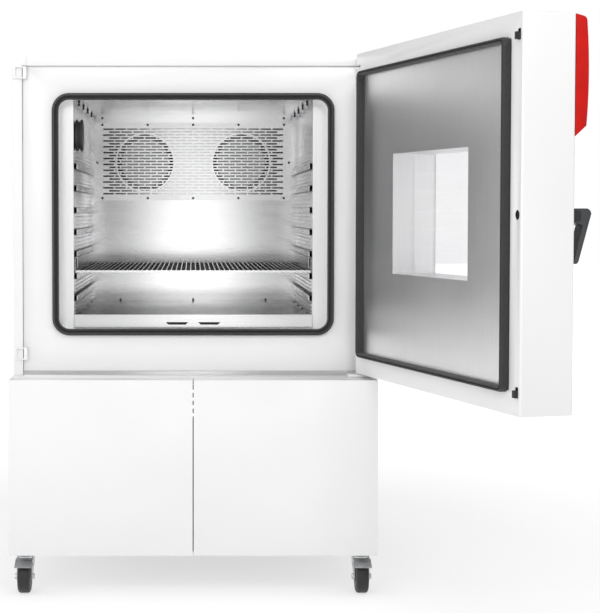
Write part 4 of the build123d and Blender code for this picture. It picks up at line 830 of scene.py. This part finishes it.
class CHAMBER_OT_door(bpy.types.Operator):
    """Door shell, inner panel, window, gasket, lock bar, controller housing and handle"""
    bl_idname = "chamber.door"
    bl_label = "Door"

    def execute(self, context):
        soften("door_shell", "enamel_white", size_of("sheet_edge"), "door")
        paint("door_inner_panel", "steel_door")
        self.door_seal()
        paint("door_insulation", "foam")
        paint("window_panes", "glass_clear")
        soften("controller_housing", "enamel_red", FASCIA_EDGE, "door")
        paint("display", "screen_black")
        paint("handle_base", "plastic_black")
        soften("handle_lever", "plastic_dark", LEVER_EDGE, "handle", 3)
        paint("lock_bar", "dark_steel")
        return {"FINISHED"}

    def door_seal(self):
        """The door gasket with two ribs and a groove between them."""
        low, high = door_box("door_gasket")
        middle = (low + high) / 2
        depth = high.y - low.y
        section = ribbed_profile(DOOR_SEAL_WIDTH, 0.55 * depth, (
            (0.25 * DOOR_SEAL_WIDTH, 0.22 * DOOR_SEAL_WIDTH, 0.45 * depth),
            (0.75 * DOOR_SEAL_WIDTH, 0.22 * DOOR_SEAL_WIDTH, 0.45 * depth)))
        mesh = ring_seal(
            "door_gasket_mesh",
            (high.x - low.x) / 2 - DOOR_SEAL_WIDTH, (high.z - low.z) / 2 - DOOR_SEAL_WIDTH,
            DOOR_SEAL_CORNER, section,
            lambda across, up, out: DOOR_FRAME @ Vector((
                middle.x + across, high.y - out, middle.z + up)))
        settle(
            "door_gasket_ribbed", mesh, "door", "silicone_black",
            ("door_gasket",))


class CHAMBER_OT_base(bpy.types.Operator):
    """Base with its doors, machinery and castors"""
    bl_idname = "chamber.base"
    bl_label = "Base"

    def execute(self, context):
        edge = size_of("sheet_edge")
        for node in ("base_left_panel", "base_right_panel", "base_top_plate"):
            soften(node, "enamel_white", edge * BASE_EDGE_SHARE, "cabinet")
        soften("left_base_door", "enamel_white", edge, "left_base_door")
        soften("right_base_door", "enamel_white", edge, "right_base_door")
        paint("base_frame", "enamel_white")
        paint("base_rear_grille", "enamel_grey")
        paint("compressors", "dark_steel")
        paint("condenser", "copper_fins")
        paint("condenser_fan", "plastic_black")
        paint("control_box", "enamel_grey")
        paint("mains_inlet", "plastic_black")
        paint("castor_plates", "zinc_steel")
        for spot in ("front_left", "front_right", "rear_left", "rear_right"):
            soften(
                spot + "_castor_fork", "zinc_steel", PRESSED_EDGE, spot + "_castor")
            soften(
                spot + "_castor_wheel", "tread_black", TREAD_EDGE,
                spot + "_wheel", 3)
        for spot in ("front_left", "front_right"):
            soften(
                spot + "_brake_pedal", "zinc_steel", PRESSED_EDGE, spot + "_brake")
        return {"FINISHED"}


def soft_lamp(name, place, target, width, height, power):
    """A rectangular studio lamp that looks at a point."""
    light = bpy.data.lights.new(name, "AREA")
    light.shape = "RECTANGLE"
    light.size = width
    light.size_y = height
    light.energy = power
    lamp = bpy.data.objects.new(name, light)
    bpy.context.scene.collection.objects.link(lamp)
    lamp.location = place
    lamp.rotation_euler = (Vector(target) - Vector(place)).to_track_quat("-Z", "Y").to_euler()


def plain_floor():
    """White studio floor: a shadow near the chamber, and white like the background far away."""
    work = bmesh.new()
    corners = [
        work.verts.new((x * FLOOR_REACH, y * FLOOR_REACH, 0))
        for x, y in ((-1, -1), (1, -1), (1, 1), (-1, 1))]
    work.faces.new(corners)
    mesh = bpy.data.meshes.new("studio_floor")
    work.to_mesh(mesh)
    work.free()
    floor = bpy.data.objects.new("studio_floor", mesh)
    bpy.context.scene.collection.objects.link(floor)
    material = bpy.data.materials.new("Studio floor")
    material.use_nodes = True
    nodes, links = material.node_tree.nodes, material.node_tree.links
    nodes.clear()
    output = nodes.new("ShaderNodeOutputMaterial")
    path = nodes.new("ShaderNodeLightPath")
    seen = nodes.new("ShaderNodeMath")
    seen.operation = "MAXIMUM"
    glossy = nodes.new("ShaderNodeMath")
    glossy.operation = "MAXIMUM"
    links.new(path.outputs["Is Camera Ray"], seen.inputs[0])
    links.new(path.outputs["Is Glossy Ray"], glossy.inputs[0])
    links.new(path.outputs["Is Transmission Ray"], glossy.inputs[1])
    links.new(glossy.outputs[0], seen.inputs[1])
    place = nodes.new("ShaderNodeTexCoord")
    distance = nodes.new("ShaderNodeVectorMath")
    distance.operation = "LENGTH"
    fade = nodes.new("ShaderNodeMapRange")
    fade.inputs["From Min"].default_value = FADE_START
    fade.inputs["From Max"].default_value = FADE_END
    fade.inputs["To Min"].default_value = GLOW_NEAR
    fade.inputs["To Max"].default_value = GLOW_FAR
    links.new(place.outputs["Object"], distance.inputs[0])
    links.new(distance.outputs["Value"], fade.inputs["Value"])
    part = nodes.new("ShaderNodeMath")
    part.operation = "MULTIPLY"
    links.new(seen.outputs[0], part.inputs[0])
    links.new(fade.outputs["Result"], part.inputs[1])
    matte = nodes.new("ShaderNodeBsdfDiffuse")
    matte.inputs["Color"].default_value = (0.9, 0.9, 0.9, 1)
    glow = nodes.new("ShaderNodeEmission")
    glow.inputs["Color"].default_value = (1, 1, 1, 1)
    glow.inputs["Strength"].default_value = GLOW_STRENGTH
    blend = nodes.new("ShaderNodeMixShader")
    links.new(part.outputs[0], blend.inputs[0])
    links.new(matte.outputs[0], blend.inputs[1])
    links.new(glow.outputs[0], blend.inputs[2])
    links.new(blend.outputs[0], output.inputs["Surface"])
    mesh.materials.append(material)


def studio_world(strength, mirrored):
    """White surroundings, dimmer in reflections, and plain white where the camera sees them."""
    world = bpy.data.worlds.new("Studio")
    bpy.context.scene.world = world
    world.use_nodes = True
    nodes, links = world.node_tree.nodes, world.node_tree.links
    nodes.clear()
    output = nodes.new("ShaderNodeOutputWorld")
    path = nodes.new("ShaderNodeLightPath")
    seen = nodes.new("ShaderNodeMath")
    seen.operation = "MAXIMUM"
    links.new(path.outputs["Is Camera Ray"], seen.inputs[0])
    links.new(path.outputs["Is Transmission Ray"], seen.inputs[1])
    ambient = nodes.new("ShaderNodeBackground")
    ambient.inputs["Color"].default_value = (1, 1, 1, 1)
    level = nodes.new("ShaderNodeMath")
    level.operation = "MULTIPLY_ADD"
    level.inputs[1].default_value = mirrored - strength
    level.inputs[2].default_value = strength
    links.new(path.outputs["Is Glossy Ray"], level.inputs[0])
    links.new(level.outputs[0], ambient.inputs["Strength"])
    plain = nodes.new("ShaderNodeBackground")
    plain.inputs["Color"].default_value = (1, 1, 1, 1)
    plain.inputs["Strength"].default_value = 1.0
    blend = nodes.new("ShaderNodeMixShader")
    links.new(seen.outputs[0], blend.inputs[0])
    links.new(ambient.outputs[0], blend.inputs[1])
    links.new(plain.outputs[0], blend.inputs[2])
    links.new(blend.outputs[0], output.inputs["Surface"])


class CHAMBER_OT_stage(bpy.types.Operator):
    """Floor, soft lamps, surroundings and the camera"""
    bl_idname = "chamber.stage"
    bl_label = "Studio"

    def execute(self, context):
        plain_floor()
        studio_world(SURROUNDINGS, SURROUNDINGS_MIRRORED)
        for lamp in LAMPS:
            soft_lamp(*lamp)
        data = bpy.data.cameras.new("Camera")
        data.sensor_fit = "VERTICAL"
        data.sensor_height = SENSOR
        data.sensor_width = SENSOR
        data.lens = FOCAL_LENGTH * SENSOR / PICTURE_HEIGHT
        data.shift_x = (PICTURE_WIDTH / 2 - CENTRE_ACROSS) / PICTURE_HEIGHT
        data.shift_y = -(PICTURE_HEIGHT / 2 - CENTRE_DOWN) / PICTURE_HEIGHT
        data.clip_start = 0.05
        data.clip_end = 200.0
        camera = bpy.data.objects.new("Camera", data)
        bpy.context.scene.collection.objects.link(camera)
        camera.location = (0.0, HOUSING_FRONT - CAMERA_BEFORE_FRONT, CAMERA_HEIGHT)
        camera.rotation_euler = (math.radians(90) - CAMERA_DIP, 0, 0)
        context.scene.camera = camera
        context.scene.view_settings.view_transform = "Standard"
        return {"FINISHED"}


class CHAMBER_PT_panel(bpy.types.Panel):
    """Lists the chamber's colours, sizes and steps"""
    bl_idname = "CHAMBER_PT_panel"
    bl_label = "Climate Chamber"
    bl_space_type = "VIEW_3D"
    bl_region_type = "UI"
    bl_category = "Chamber"

    def draw(self, context):
        for group in (context.scene.chamber_colours, context.scene.chamber_sizes):
            for name in group.__annotations__:
                self.layout.prop(group, name)
        for step in STEPS:
            self.layout.operator(step.bl_idname)


STEPS = (
    CHAMBER_OT_stage,
    CHAMBER_OT_housing,
    CHAMBER_OT_lining,
    CHAMBER_OT_door,
    CHAMBER_OT_base,
)


def register():
    for group in (ChamberColours, ChamberSizes):
        bpy.utils.register_class(group)
    for step in STEPS:
        bpy.utils.register_class(step)
    bpy.utils.register_class(CHAMBER_PT_panel)
    bpy.types.Scene.chamber_colours = bpy.props.PointerProperty(type=ChamberColours)
    bpy.types.Scene.chamber_sizes = bpy.props.PointerProperty(type=ChamberSizes)


def unregister():
    del bpy.types.Scene.chamber_sizes
    del bpy.types.Scene.chamber_colours
    bpy.utils.unregister_class(CHAMBER_PT_panel)
    for step in reversed(STEPS):
        bpy.utils.unregister_class(step)
    for group in (ChamberSizes, ChamberColours):
        bpy.utils.unregister_class(group)


def main():
    register()
    for step in STEPS:
        group, name = step.bl_idname.split(".")
        getattr(getattr(bpy.ops, group), name)()


if __name__ == "__main__":
    main()
